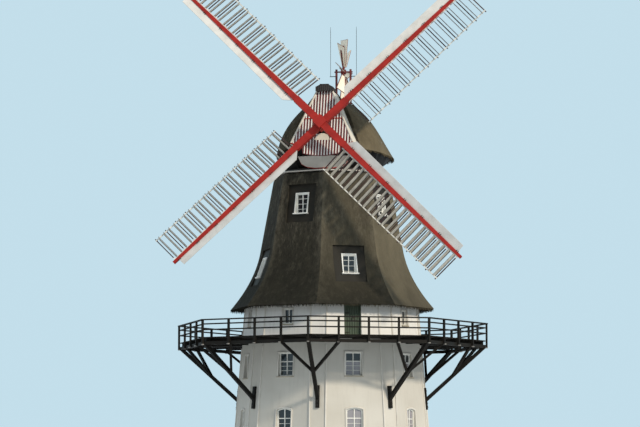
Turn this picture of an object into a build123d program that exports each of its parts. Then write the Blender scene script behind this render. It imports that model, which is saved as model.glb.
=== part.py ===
from build123d import *
import os
from collections import namedtuple
from math import atan2, cos, hypot, radians, sin, tan

# A gallery smock mill: a white octagonal brick base, a timber gallery on struts, a flared
# thatched smock, and a thatched cap that turns with its sails and its fantail.
# Units are millimetres. The origin is on the ground at the centre of the tower, +Z is up,
# and the sails look along -Y. Sides are numbered 1 to 8 from the front towards +X.

# Octagon
side_count = 8
half_turn = 180 / side_count
side_turn = 2 * half_turn

# Brick base
base_radius_ground = 6070
base_radius_gallery = 5330
corner_flat = 900
wall_thickness_ground = 700
wall_thickness_top = 480
gallery_level = 9000
wall_top = 11300

# Floors
floor_thickness = 220
ground_slab_thickness = 150
first_floor_level = 2750
second_floor_level = 5950
smock_floor_thickness = 250

# Smock and its thatch
smock_top = 18630
upper_floor_level = smock_top - 3480
smock_top_radius = 3370
smock_slope = 0.187
flare_start = 14200
skirt_level = 10850
skirt_radius = 5976
thatch_thickness = 400
post_size = 240

# Windows and doors of the base
reveal_depth = 130
frame_width = 65
frame_depth = 90
bar_width = 50
glass_thickness = 10
sill_height = 60
sill_overhang = 70
sill_side = 80
arch_rise = 110
large_window_width = 950
ground_sill_level = 800
ground_window_height = 1450
first_sill_level = 3550
first_window_height = 1500
second_sill_level = 6850
second_window_height = 1320
small_window_width = 620
small_sill_level = 9800
small_window_height = 860
gallery_door_width = 1000
gallery_door_height = 1880
entrance_width = 2200
entrance_height = 2320
entrance_rise = 260
door_thickness = 55
leaf_gap = 4

# Windows of the smock, each in a casing inside a dark boarded recess
recess_width = 1850
recess_height = 2250
recess_depth = 130
recess_board = 60
casing_width = 880
casing_height = 1260
casing_board = 55
casing_proud = 60
casing_depth = 620
sash_setback = 70
sash_depth = 60
sash_frame = 60
lower_window_level = 13230
upper_window_level = smock_top - 1850

# Gallery
gallery_radius = 9000
deck_thickness = 55
deck_hip_gap = 12
joist_height = 200
joist_width = 140
hip_width = 200
ring_beam_height = 180
ring_beam_width = 220
bays_per_side = 4
railing_height = 1000
railing_post_size = 110
railing_foot_drop = 420
handrail_width = 150
handrail_height = 70
mid_rail_height = 75
mid_rail_depth = 45
mid_rail_levels = (370, 690)
strut_size = 200
strut_foot_level = 5600
strut_head_inset = 210
brace_size = 140
brace_foot_share = 0.47
wall_post_width = 220
wall_post_depth = 130
wall_post_low = 5050
wall_post_high = 6300

# Cap ring and frame
curb_depth = 320
curb_width = 420
curb_cover_thickness = 60
curb_cover_lip = 30
running_gap = 0.3
journal_gap = 0.9
turning_ring_radius = 2780
turning_ring_width = 400
turning_ring_height = 150
sheer_spacing = 2300
sheer_width = 260
sheer_height = 300
sheer_front = 2350
beam_size = 300
sheer_rear = 6000
neck_beam_reach = sheer_front - beam_size / 2
neck_beam_half = 1500
neck_beam_low = smock_top + 1420
tail_beam_place = 2000
bearing_width = 700
bearing_length = 320

# Cap front: boarded gable with cheeks, lower bib, chin and hood
gable_foot_level = smock_top + 1470
gable_foot_reach = 3750
gable_lean = 20
gable_top_level = smock_top + 4620
gable_foot_half = 1820
gable_top_half = 470
gable_thickness = 50
cheek_depth = 700
cheek_splay = 18
cheek_thickness = 40
shaft_hole_radius = 330
bib_half_low = 1080
bib_half_high = 1150
bib_high = smock_top + 1270
bib_level = smock_top + 720
bib_scallop = 150
chin_rises = (130, 212, 380, 770)
chin_levels = [smock_top + rise for rise in chin_rises]
chin_halves = (480, 950, 1270, 1440)
chin_slope = 0.336
chin_low_reach = 3200
chin_root = 1500
hood_half = 490
hood_height = 370
hood_shoulder = 240
hood_top_half = 230
hood_overhang = 350
hood_length = 1500
neck_panel_radius = 430
neck_panel_level = smock_top + 1650
neck_panel_thickness = 30

# Cap roof
eave_level = smock_top + 1220
roof_thatch = 280
soffit_board = 60
rear_reach = 4100
rear_gable_thickness = 60

# Rotor
hub_reach = 4350
hub_level = smock_top + 2570
shaft_tilt = 12
shaft_radius_neck = 260
shaft_radius_tail = 180
neck_journal_radius = 200
tail_journal_radius = 110
journal_margin = 90
poll_size = 600
poll_margin = 70
stock_offset = 195
stock_boss_width = 400
stock_boss_reach = 2000
stock_root_width = 330
stock_root_depth = 310
stock_tip_width = 170
stock_tip_depth = 140
sail_length = 11500
sail_start = 2100
sail_bays = 12
bar_size = 55
lath_width = 60
lath_depth = 45
outer_lath_offset = 1750
bar_overhang = 80
weather_root = 14
weather_tip = 6
board_width = 500
board_thickness = 30
board_lean = 22
board_start = 2010
board_slant = 450
board_end = 150
shutter_width = 380
shutter_thickness = 14
shutters_per_bay = 2
shutter_turn = 80

# Fantail
fan_reach = 5150
fan_level = smock_top + 6940
fan_radius = 1950
fan_blades = 8
fan_hub_radius = 150
fan_hub_length = 300
fan_axle_radius = 45
fan_blade_root = 420
fan_blade_root_width = 260
fan_blade_tip_width = 680
fan_blade_thickness = 22
fan_blade_pitch = 45
fan_arm_size = 60
fan_post_spacing = 860
fan_post_size = 120
fan_post_rise = 160
fan_sill_size = 200
fan_girt_levels = (smock_top + 2870, smock_top + 4870)
fan_girt_size = 110
rod_level = smock_top + 6670
rod_spread = 790
rod_arm_size = 40
rod_top = smock_top + 9370
rod_radius = 12


def apothem(radius):
    """Distance from the axis to a side of an octagon with this corner radius."""
    return radius * cos(radians(half_turn))


def turned(shape, degrees_from_front):
    return Rot(0, 0, degrees_from_front) * shape


def side_angle(side):
    return half_turn + side_turn * (side - 1)


def solid_between(lower, upper):
    """A solid with two polygon ends and flat faces between their matching edges."""
    count = len(lower)
    ends = [Face(Wire.make_polygon(lower)), Face(Wire.make_polygon(upper))]
    sides = []
    for i in range(count):
        j = (i + 1) % count
        sides.append(Face(Wire.make_polygon([lower[i], lower[j], upper[j], upper[i]])))
    return Solid(Shell(ends + sides))


def octagon(across, level):
    """Corner points of an octagon whose sides lie this far from the axis."""
    radius = across / cos(radians(half_turn))
    turns = [radians(side_turn * k) for k in range(side_count)]
    return [(radius * sin(a), -radius * cos(a), level) for a in turns]


def octagon_block(across_low, level_low, across_high, level_high):
    return solid_between(octagon(across_low, level_low), octagon(across_high, level_high))


def upright(shape, reach, level):
    """Stands a drawing of the XY plane up at the front, facing outwards."""
    return Plane(origin=(0, -reach, level), x_dir=(1, 0, 0), z_dir=(0, -1, 0)) * shape


def save(node, shapes):
    """Writes one node; its solids stay separate."""
    solids = [solid for shape in shapes for solid in shape.solids()]
    export_step(solids[0] if len(solids) == 1 else Compound(children=solids), f"parts/{node}.step")


# Brick base

Row = namedtuple("Row", "sides sill width height rise transom")
all_sides = range(1, side_count + 1)
door_sides = (1, 1 + side_count // 2)
window_sides = [side for side in all_sides if side not in door_sides]
transom_share = 0.62
ground_row = Row(window_sides, ground_sill_level, large_window_width, ground_window_height,
                 arch_rise, transom_share)
first_row = Row(all_sides, first_sill_level, large_window_width, first_window_height,
                arch_rise, transom_share)
second_row = Row(all_sides, second_sill_level, large_window_width, second_window_height,
                 0, transom_share)
gallery_row = Row(window_sides, small_sill_level, small_window_width, small_window_height, 0, 0)
rows = (ground_row, first_row, second_row, gallery_row)


def base_radius(level):
    batter = (base_radius_ground - base_radius_gallery) / gallery_level
    return base_radius_ground - batter * level


def wall_face(level):
    return apothem(base_radius(level))


def inner_wall(level):
    thinning = (wall_thickness_ground - wall_thickness_top) / wall_top
    return wall_face(level) - wall_thickness_ground + thinning * level


def wall_outline(level):
    """Plan of one side, mitred at its ends, with half a corner flat at each."""
    slope = tan(radians(half_turn))
    half = wall_face(level) * slope - corner_flat / 2 / cos(radians(half_turn))
    flat_radius = base_radius(level) - corner_flat / 2 * slope
    flat_x = flat_radius * sin(radians(half_turn))
    flat_y = flat_radius * cos(radians(half_turn))
    inside = inner_wall(level)
    return [
        (-half, -wall_face(level), level), (half, -wall_face(level), level),
        (flat_x, -flat_y, level), (inside * slope, -inside, level),
        (-inside * slope, -inside, level), (-flat_x, -flat_y, level),
    ]


def arched_face(width, height, rise):
    """An upright outline on its sill, with a flat or a segmental top."""
    half = width / 2
    springing = height - rise
    if rise:
        top = ThreePointArc((half, springing), (0, height), (-half, springing))
    else:
        top = Line((half, height), (-half, height))
    foot = Line((-half, 0), (half, 0))
    jambs = [Line((half, 0), (half, springing)), Line((-half, springing), (-half, 0))]
    return make_face([foot, jambs[0], top, jambs[1]])


def frame_back(level, height):
    """Where the back of a frame stands, measured from the axis."""
    return wall_face(level + height / 2) - reveal_depth - frame_depth


def wall_hole(width, height, rise, level):
    start = inner_wall(level) - wall_thickness_ground
    return extrude(upright(arched_face(width, height, rise), start, level),
                   2 * wall_thickness_ground + wall_face(level) - start)


def window_sill(row):
    back = frame_back(row.sill, row.height)
    front = wall_face(row.sill) + sill_overhang
    width = row.width + 2 * sill_side
    return Pos(0, -(back + front) / 2, row.sill - sill_height / 2) * Box(width, front - back, sill_height)


def window_frame(row):
    outer = arched_face(row.width, row.height, row.rise)
    inner_width = row.width - 2 * frame_width
    inner_height = row.height - 2 * frame_width
    inner_rise = row.rise * inner_width / row.width
    inner = Pos(0, frame_width) * arched_face(inner_width, inner_height, inner_rise)
    bars = Pos(0, row.height / 2) * Rectangle(bar_width, row.height)
    if row.transom:
        bars += Pos(0, row.height * row.transom) * Rectangle(row.width, bar_width)
    glass_back = frame_depth / 4
    bar_depth = frame_depth / 2
    ring = extrude(outer - inner, frame_depth)
    ring += Pos(0, 0, glass_back + glass_thickness) * extrude(bars & outer, bar_depth)
    pane = Pos(0, 0, glass_back) * extrude(inner, glass_thickness)
    back = frame_back(row.sill, row.height)
    return upright(ring, back, row.sill), upright(pane, back, row.sill)


def door_outlines(width, height, rise):
    """Outline of the opening, and of the clear way inside the frame."""
    clear_width = width - 2 * frame_width
    clear = arched_face(clear_width, height - frame_width, rise * clear_width / width)
    return arched_face(width, height, rise), clear


def door_frame(width, height, rise, level):
    outer, clear = door_outlines(width, height, rise)
    return upright(extrude(outer - clear, frame_depth), frame_back(level, height), level)


def door_leaf(width, height, rise, level):
    """The closed door, seated against the back of its frame."""
    margin = frame_width / 4
    leaf = Pos(0, margin) * arched_face(width - 2 * margin, height - 2 * margin, rise)
    return upright(extrude(leaf, door_thickness), frame_back(level, height) - door_thickness, level)


def base_wall(side):
    wall = solid_between(wall_outline(0), wall_outline(wall_top))
    for row in rows:
        if side in row.sides:
            wall -= wall_hole(row.width, row.height, row.rise, row.sill) + window_sill(row)
    if side in door_sides:
        wall -= wall_hole(entrance_width, entrance_height, entrance_rise, ground_slab_thickness)
        wall -= wall_hole(gallery_door_width, gallery_door_height, 0, gallery_level)
    return turned(wall, side_angle(side))


def floor_slab(level, thickness):
    low = level - thickness
    return octagon_block(inner_wall(low), low, inner_wall(level), level)


def build_base():
    save("base_walls_odd", [base_wall(side) for side in all_sides if side % 2])
    save("base_walls_even", [base_wall(side) for side in all_sides if side % 2 == 0])
    frames = []
    panes = []
    for row in rows:
        frame, pane = window_frame(row)
        frames += [turned(frame, side_angle(side)) for side in row.sides]
        panes += [turned(pane, side_angle(side)) for side in row.sides]
    save("window_frames", frames)
    save("window_glass", panes)
    save("window_sills", [turned(window_sill(row), side_angle(side)) for row in rows for side in row.sides])


def build_floors():
    """The floors of the base up to the gallery, and the two of the smock."""
    floors = [floor_slab(ground_slab_thickness, ground_slab_thickness)]
    for level in (first_floor_level, second_floor_level, gallery_level):
        floors.append(floor_slab(level, floor_thickness))
    for low, top in ((wall_top, smock_floor_level), (upper_floor_low, upper_floor_level)):
        floors.append(octagon_block(inner_thatch(low), low, inner_thatch(top), top))
    save("storey_floors", floors)


def build_doors():
    angles = [side_angle(side) for side in door_sides]
    entrance = (entrance_width, entrance_height, entrance_rise, ground_slab_thickness)
    gallery = (gallery_door_width, gallery_door_height, 0, gallery_level)
    frames = [door_frame(*entrance), door_frame(*gallery)]
    save("door_frames", [turned(frame, angle) for frame in frames for angle in angles])
    leaf = door_leaf(*entrance)
    meeting = Pos(0, -wall_face(0) / 2, entrance_height / 2) * Box(leaf_gap, wall_face(0), entrance_width * 2)
    leaves = [*(leaf - meeting).solids()]
    leaves.append(door_leaf(*gallery))
    save("doors", [turned(part, angle) for part in leaves for angle in angles])


# Smock

inner_knee_level = 12500
thatch_top_round = 330
smock_floor_level = wall_top + smock_floor_thickness
upper_floor_low = upper_floor_level - floor_thickness


def straight_radius(level):
    return smock_top_radius + smock_slope * (smock_top - level)


def smock_radius(level):
    """Corner radius of the thatch: straight above, a parabola in the flared skirt."""
    if level >= flare_start:
        return straight_radius(level)
    share = (flare_start - level) / (flare_start - skirt_level)
    return straight_radius(level) + (skirt_radius - straight_radius(skirt_level)) * share ** 2


def smock_face(level):
    return apothem(smock_radius(level))


def inner_thatch(level):
    """Distance from the axis to the back of the thatch, from the top of the wall upwards."""
    stations = [wall_top, inner_knee_level, flare_start, smock_top]
    reaches = [wall_face(wall_top)] + [smock_face(z) - thatch_thickness for z in stations[1:]]
    for low, high, near, far in zip(stations, stations[1:], reaches, reaches[1:]):
        if level <= high:
            break
    return near + (far - near) * (level - low) / (high - low)


def thatch_section():
    """Section of the thatch through the middle of a side, as reach and level."""
    shoulder = smock_top - thatch_top_round
    middle = (flare_start + skirt_level) / 2
    top_out = (smock_face(smock_top) - thatch_top_round, smock_top)
    shoulder_out = (smock_face(shoulder), shoulder)
    flare_out = (smock_face(flare_start), flare_start)
    skirt_out = (smock_face(skirt_level), skirt_level)
    skirt_in = (smock_face(skirt_level) - thatch_thickness, skirt_level)
    wall_seat = (inner_thatch(wall_top), wall_top)
    knee_in = (inner_thatch(inner_knee_level), inner_knee_level)
    flare_in = (inner_thatch(flare_start), flare_start)
    top_in = (inner_thatch(smock_top), smock_top)
    return make_face([
        Bezier(top_out, (smock_face(smock_top), smock_top), shoulder_out),
        Line(shoulder_out, flare_out),
        Bezier(flare_out, (apothem(straight_radius(middle)), middle), skirt_out),
        Line(skirt_out, skirt_in), Line(skirt_in, wall_seat), Line(wall_seat, knee_in),
        Line(knee_in, flare_in), Line(flare_in, top_in), Line(top_in, top_out),
    ])


def recess_plane(level):
    """Plane on the sloping thatch at a window, its z axis pointing out."""
    half = recess_height / 2
    low, high = smock_face(level - half), smock_face(level + half)
    lean = atan2(low - high, recess_height)
    return Plane(origin=(0, -(low + high) / 2, level), x_dir=(1, 0, 0), z_dir=(0, -cos(lean), sin(lean)))


def box_from(width, height, back, front):
    """A box centred on the plane, from one depth to another."""
    return Pos(0, 0, (back + front) / 2) * Box(width, height, front - back)


def thatch_side(window_level):
    half_width = skirt_radius
    section = Plane(origin=(0, 0, 0), x_dir=(0, -1, 0), z_dir=(-1, 0, 0)) * thatch_section()
    side = extrude(section, half_width, both=True)
    reach = 2 * skirt_radius
    mitre = radians(half_turn)
    corners = [(0, 0), (reach * sin(mitre), -reach * cos(mitre)), (-reach * sin(mitre), -reach * cos(mitre))]
    wedge = extrude(make_face(Polyline(*corners, close=True)), smock_top * 2)
    hole = box_from(recess_width, recess_height, -skirt_radius / 2, skirt_radius / 2)
    return (side & wedge) - recess_plane(window_level) * hole


def window_recess(level):
    """Dark boarding, white casing, upright sash and glass of one smock window."""
    plane = recess_plane(level)
    face = -recess_depth
    front = face + casing_proud
    clear_width = casing_width - 2 * casing_board
    clear_height = casing_height - 2 * casing_board
    panel = box_from(recess_width, recess_height, face - recess_board, face)
    panel -= box_from(casing_width, casing_height, face - recess_board, face)
    void = box_from(clear_width, clear_height, -casing_depth, front)
    casing = box_from(casing_width, casing_height, -casing_depth, front) - void
    lip = box_from(casing_width + 2 * casing_board, casing_board, face, front + casing_board)
    casing += Pos(0, -(casing_height - casing_board) / 2, 0) * lip
    head = plane.from_local_coords((0, clear_height / 2, front))
    sash_face = head.Y + sash_setback
    slab = Pos(0, sash_face + sash_depth / 2, level) * Box(clear_width, sash_depth, 2 * casing_height)
    sheet = Pos(0, sash_face + sash_depth / 2, level) * Box(clear_width, glass_thickness, 2 * casing_height)
    void = plane * void
    light_width = clear_width - 2 * sash_frame
    light_height = clear_height - 2 * sash_frame
    light = plane * box_from(light_width, light_height, -casing_depth, front)
    sash = (slab & void) - light
    middle = Pos(0, sash_face + sash_depth / 4 - glass_thickness / 4, level) * Box(
        bar_width, (sash_depth - glass_thickness) / 2, 2 * casing_height)
    sash += middle & void
    return plane * panel, plane * casing, sash, sheet & light


def build_smock():
    levels = {1: lower_window_level, 0: upper_window_level}
    for odd, name in ((1, "smock_thatch_odd"), (0, "smock_thatch_even")):
        side = thatch_side(levels[odd])
        save(name, [turned(side, side_angle(k)) for k in all_sides if k % 2 == odd])
    parts = {odd: window_recess(level) for odd, level in levels.items()}
    nodes = ("smock_window_panels", "smock_window_casings", "smock_window_sashes", "smock_window_glass")
    for index, node in enumerate(nodes):
        save(node, [turned(parts[side % 2][index], side_angle(side)) for side in all_sides])
    save("smock_posts", [turned(smock_post(), side_turn * k) for k in range(side_count)])


def smock_post():
    """One of the eight leaning corner posts that carry the curb, cut at the upper floor."""
    head_level = smock_top - curb_depth
    def centre(level):
        return (0, post_size * 0.75 - inner_thatch(level) / cos(radians(half_turn)), level)
    post = bar_between(centre(smock_floor_level), centre(head_level + post_size), post_size, post_size)
    stations = [smock_floor_level, inner_knee_level, flare_start, head_level]
    inside = [octagon_block(inner_thatch(low), low, inner_thatch(high), high)
              for low, high in zip(stations, stations[1:])]
    lengths = [post & block for block in inside]
    whole = lengths[0] + lengths[1] + lengths[2]
    gap = Pos(0, 0, upper_floor_level - floor_thickness / 2) * Box(2 * skirt_radius, 2 * skirt_radius,
                                                                   floor_thickness)
    return whole - gap


# Gallery

joist_low = gallery_level - deck_thickness - joist_height
ring_beam_low = joist_low - ring_beam_height
deck_edge = apothem(gallery_radius) - railing_post_size / 2
mitre_slope = tan(radians(half_turn))
corner_angles = [side_turn * k for k in range(side_count)]
side_angles = [side_angle(side) for side in all_sides]


def bar_between(start, end, width, height):
    """A squared timber between two points, its height in the upright plane of its run."""
    run = Vector(end) - Vector(start)
    across = Vector(run.Y, -run.X, 0) if hypot(run.X, run.Y) > 1 else Vector(1, 0, 0)
    plane = Plane(origin=start, x_dir=across.normalized(), z_dir=run.normalized())
    return plane * extrude(Rectangle(width, height), run.length)


def ring_side(inner, outer, low, high):
    """One side of an octagonal ring, with a narrow gap to the next side at each mitre."""
    gap = deck_hip_gap / 2 / cos(radians(half_turn))
    ends = [(-1, inner), (1, inner), (1, outer), (-1, outer)]
    plan = [(way * (reach * mitre_slope - gap), -reach) for way, reach in ends]
    return Pos(0, 0, low) * extrude(make_face(Polyline(*plan, close=True)), high - low)


def plain_wall():
    return solid_between(wall_outline(0), wall_outline(wall_top))


def flat_radius(level):
    """Distance from the axis to the flat of a corner of the base."""
    return base_radius(level) - corner_flat / 2 * mitre_slope


def deck_part():
    low = gallery_level - deck_thickness
    whole = ring_side(inner_wall(low), deck_edge, low, gallery_level)
    return whole - plain_wall() - Pos(0, -inner_wall(low) / 2, low) * Box(
        2 * wall_face(low), inner_wall(low), 4 * deck_thickness)


def joists():
    """The joists of one side, from the wall out over the ring beam."""
    timbers = []
    middle = joist_low + joist_height / 2
    for k in range(1, bays_per_side):
        x = deck_edge * mitre_slope * (2 * k / bays_per_side - 1)
        start = (x, -inner_wall(joist_low) - wall_thickness_top / 2, middle)
        timber = bar_between(start, (x, -deck_edge, middle), joist_width, joist_height)
        timbers.append(timber - plain_wall())
    return timbers


def hip_beam():
    """The beam under a hip of the deck, from a corner of the base to the corner of the deck."""
    middle = joist_low + joist_height / 2
    end = deck_edge / cos(radians(half_turn)) - joist_width
    return bar_between((0, -flat_radius(joist_low), middle), (0, -end, middle), hip_width, joist_height)


def wall_post():
    """The upright shoe of a strut, lying along the battered corner of the base."""
    batter = atan2(base_radius_ground - base_radius_gallery, gallery_level)
    stand_off = wall_post_depth / 2 / cos(batter)
    ends = [(0, -flat_radius(level) - stand_off, level) for level in (wall_post_low, wall_post_high)]
    return bar_between(ends[0], ends[1], wall_post_width, wall_post_depth)


def strut_line():
    """Centre line of a strut: its foot in the wall post and its head in the ring beams."""
    foot = Vector(0, -flat_radius(strut_foot_level) - wall_post_depth / 2, strut_foot_level)
    head = Vector(0, strut_head_inset - gallery_radius, ring_beam_low)
    return foot, head


def below_ring_beams(timber):
    keep = Pos(0, 0, ring_beam_low / 2) * Box(4 * gallery_radius, 4 * gallery_radius, ring_beam_low)
    return timber & keep


def strut():
    foot, head = strut_line()
    past = head + (head - foot).normalized() * 2 * strut_size
    return below_ring_beams(bar_between(foot, past, strut_size, strut_size)) - wall_post()


def side_braces():
    """The two braces that fork from a strut out to the ring beams, one bay from the corner."""
    foot, head = strut_line()
    fork = foot + (head - foot) * brace_foot_share
    reach = deck_edge - ring_beam_width / 2
    x = reach * mitre_slope * (2 / bays_per_side - 1)
    bearing = Rot(0, 0, half_turn) * Pos(x, -reach, ring_beam_low)
    end = Vector(bearing.position)
    past = end + (end - fork).normalized() * 2 * brace_size
    brace = below_ring_beams(bar_between(fork, past, brace_size, brace_size)) - strut()
    return [brace, mirror(brace, about=Plane.YZ)]


def railing_posts():
    """One side's railing posts: the corner post at its right end and those between."""
    foot = gallery_level - railing_foot_drop
    height = railing_height - handrail_height + railing_foot_drop
    post = Pos(0, 0, foot + height / 2) * Box(railing_post_size, railing_post_size, height)
    reach = apothem(gallery_radius)
    posts = []
    for k in range(1, bays_per_side):
        x = deck_edge * mitre_slope * (2 * k / bays_per_side - 1)
        posts.append(Pos(x, -reach, 0) * post)
    corner = Rot(0, 0, half_turn) * Pos(0, -gallery_radius, 0) * post
    plan = make_face(Polyline(*octagon(deck_edge, 0), close=True))
    deck_corner = Rot(0, 0, half_turn) * Pos(0, 0, foot) * extrude(plan, railing_foot_drop)
    posts.append(corner - deck_corner)
    return posts


def handrail():
    middle = apothem(gallery_radius)
    top = gallery_level + railing_height
    return ring_side(middle - handrail_width / 2, middle + handrail_width / 2, top - handrail_height, top)


def mid_rails():
    levels = [gallery_level + level for level in mid_rail_levels]
    return [ring_side(deck_edge - mid_rail_depth, deck_edge, level, level + mid_rail_height)
            for level in levels]


def all_round(parts, angles):
    return [turned(part, angle) for part in parts for angle in angles]


def build_gallery():
    save("gallery_deck", all_round([deck_part()], side_angles))
    save("gallery_joists", all_round(joists(), side_angles) + all_round([hip_beam()], corner_angles))
    ring = ring_side(deck_edge - ring_beam_width, deck_edge, ring_beam_low, joist_low)
    save("gallery_ring_beams", all_round([ring], side_angles))
    save("strut_wall_posts", all_round([wall_post()], corner_angles))
    save("gallery_struts", all_round([strut()], corner_angles))
    save("gallery_side_braces", all_round(side_braces(), corner_angles))
    save("railing_posts", all_round(railing_posts(), side_angles))
    save("railing_rails", all_round([handrail()] + mid_rails(), side_angles))


# Cap: its ring, frame and bearings

cover_top = smock_top + curb_cover_thickness
turning_low = cover_top + running_gap
cap_low = turning_low + turning_ring_height
sheer_top = cap_low + sheer_height
lean_slope = tan(radians(gable_lean))
shaft_slope = tan(radians(shaft_tilt))
shaft_along = cos(radians(shaft_tilt))
rotor_plane = Plane(origin=(0, -hub_reach, hub_level), x_dir=(1, 0, 0),
                    z_dir=(0, -shaft_along, sin(radians(shaft_tilt))))


def both(shape):
    return [shape, mirror(shape, about=Plane.YZ)]


def shaft_level(y):
    """Height of the shaft's axis above a place along the cap."""
    return hub_level - (hub_reach + y) * shaft_slope


def ring(outer, inner, low, height):
    return Pos(0, 0, low + height / 2) * (Cylinder(outer, height) - Cylinder(inner, height))


def build_curb():
    hole_radius = inner_thatch(smock_top) - curb_width
    low = smock_top - curb_depth
    bore = Pos(0, 0, smock_top) * Cylinder(hole_radius, 4 * curb_depth)
    curb = octagon_block(inner_thatch(low), low, inner_thatch(smock_top), smock_top) - bore
    across = smock_face(smock_top) + curb_cover_lip
    cover = octagon_block(across, smock_top, across, cover_top) - bore
    save("curb_ring", [curb])
    save("curb_cover", [cover])


def sheers():
    length = sheer_rear + sheer_front
    middle = (sheer_rear - sheer_front) / 2
    beam = Box(sheer_width, length, sheer_height)
    return both(Pos(sheer_spacing / 2, middle, cap_low + sheer_height / 2) * beam)


def bore_along_shaft(radius, y):
    """A cylinder on the shaft's axis at this place along the cap."""
    place = -(hub_reach + y) / shaft_along
    return rotor_plane * Pos(0, 0, place) * Cylinder(radius, 4 * bearing_length)


def bearing(y, foot, journal_radius):
    top = shaft_level(y) + journal_radius + bearing_width / 4
    block = Pos(0, y, (foot + top) / 2) * Box(bearing_width, bearing_length, top - foot)
    return block - bore_along_shaft(journal_radius + journal_gap, y)


def build_cap_frame():
    save("turning_ring", [ring(turning_ring_radius, turning_ring_radius - turning_ring_width,
                               turning_low, turning_ring_height)])
    save("cap_sheers", sheers())
    neck_top = neck_beam_low + beam_size
    neck_beam = Pos(0, -neck_beam_reach, neck_beam_low + beam_size / 2) * Box(
        2 * neck_beam_half, beam_size, beam_size)
    post_height = neck_beam_low - sheer_top
    post = Pos(sheer_spacing / 2, -neck_beam_reach, sheer_top + post_height / 2) * Box(
        sheer_width, beam_size, post_height)
    save("neck_posts", both(post))
    tail_beam = Pos(0, tail_beam_place, sheer_top + beam_size / 2) * Box(
        sheer_spacing + sheer_width, beam_size, beam_size)
    save("shaft_beams", [neck_beam, tail_beam])
    save("shaft_bearings", [bearing(-neck_beam_reach, neck_top, neck_journal_radius),
                            bearing(tail_beam_place, sheer_top + beam_size, tail_journal_radius)])


# Cap front

def gable_y(level):
    """Place of the front gable's plane at a height; it leans back as it rises."""
    return -gable_foot_reach + (level - gable_foot_level) * lean_slope


gable_plane = Plane(origin=(0, -gable_foot_reach, gable_foot_level), x_dir=(1, 0, 0),
                    z_dir=(0, -cos(radians(gable_lean)), sin(radians(gable_lean))))


def on_gable(x, level):
    """A point of the gable drawing that lies at this height on the leaning gable."""
    return (x, (level - gable_foot_level) / cos(radians(gable_lean)))


def gable_boards():
    """The leaning gable and its lower bib, with the hole that the windshaft passes."""
    right = [on_gable(bib_half_high, bib_high), on_gable(gable_foot_half, gable_foot_level),
             on_gable(gable_top_half, gable_top_level)]
    left = [(-x, v) for x, v in reversed(right)]
    foot = [on_gable(-bib_half_low, bib_level + bib_scallop), on_gable(0, bib_level),
            on_gable(bib_half_low, bib_level + bib_scallop)]
    outline = [ThreePointArc(*foot), Polyline(foot[2], *right, *left, foot[0])]
    panel = gable_plane * extrude(make_face(outline), gable_thickness)
    return panel - bore_along_shaft(shaft_hole_radius, gable_y(hub_level))


def gable_cheek():
    """The boarded cheek from the gable's slanted edge back to the thatch, splayed outwards."""
    low = Vector(*on_gable(gable_foot_half, gable_foot_level), 0)
    high = Vector(*on_gable(gable_top_half, gable_top_level), 0)
    along = (high - low).normalized()
    outward = Vector(along.Y, -along.X, 0)
    depth = cheek_depth * cos(radians(gable_lean))
    back = outward * (depth * tan(radians(cheek_splay))) - Vector(0, 0, depth)
    front = [low, high, high - outward * cheek_thickness, low - outward * cheek_thickness]
    return gable_plane * solid_between(front, [point + back for point in front])


def cheek_gusset():
    """The board under a cheek, from the gable's lower edge back to the thatch."""
    points = [(bib_half_high, gable_y(bib_high), bib_high),
              (gable_foot_half, gable_y(gable_foot_level), gable_foot_level),
              (front_rib.eave - roof_thatch / 2, front_rib_y(eave_level), eave_level)]
    face = Face(Wire.make_polygon(points))
    inwards = face.normal_at() * (-1 if face.normal_at().X > 0 else 1)
    return extrude(face, cheek_thickness, dir=inwards)


def neck_panel():
    """The half-round board under the windshaft."""
    half = neck_panel_radius
    outline = [ThreePointArc((half, 0), (0, half), (-half, 0)), Line((-half, 0), (half, 0))]
    place = Pos(0, on_gable(0, neck_panel_level)[1], gable_thickness)
    board = gable_plane * place * extrude(make_face(outline), neck_panel_thickness)
    return board - bore_along_shaft(shaft_hole_radius, gable_y(hub_level))


def hood():
    half = hood_half
    profile = [(-half, 0), (half, 0), (half, hood_shoulder), (hood_top_half, hood_height),
               (-hood_top_half, hood_height), (-half, hood_shoulder)]
    front = -gable_y(gable_top_level) + hood_overhang
    face = upright(make_face(Polyline(*profile, close=True)), front, gable_top_level)
    return extrude(face, -hood_length)


# Cap roof: two thatched flanks drawn through ribs, half a section each

Rib = namedtuple("Rib", "y ridge top shoulder waist eave")


def rib_at(y, ridge, top, shoulder, waist, eave):
    """A rib whose heights are given above the eaves."""
    heights = [(x, eave_level + rise) for x, rise in (shoulder, waist)]
    return Rib(y, eave_level + ridge, top, *heights, eave)


front_rib = rib_at(0, 3400, 640, (1230, 2450), (1750, 1150), 2180)
ribs = [
    rib_at(-1200, 3400, 460, (1300, 2770), (2600, 1230), 3000),
    rib_at(900, 3390, 450, (1560, 2750), (2770, 1180), 3350),
    rib_at(2900, 3130, 400, (1450, 2500), (2600, 1100), 3300),
    rib_at(rear_reach, 2650, 300, (1100, 1900), (1700, 950), 2150),
]
ridge_fall = 40


def front_rib_y(level):
    """Place of the thatch's front end, parallel to the gable and behind the cheeks."""
    return gable_y(level) + cheek_depth


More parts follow.
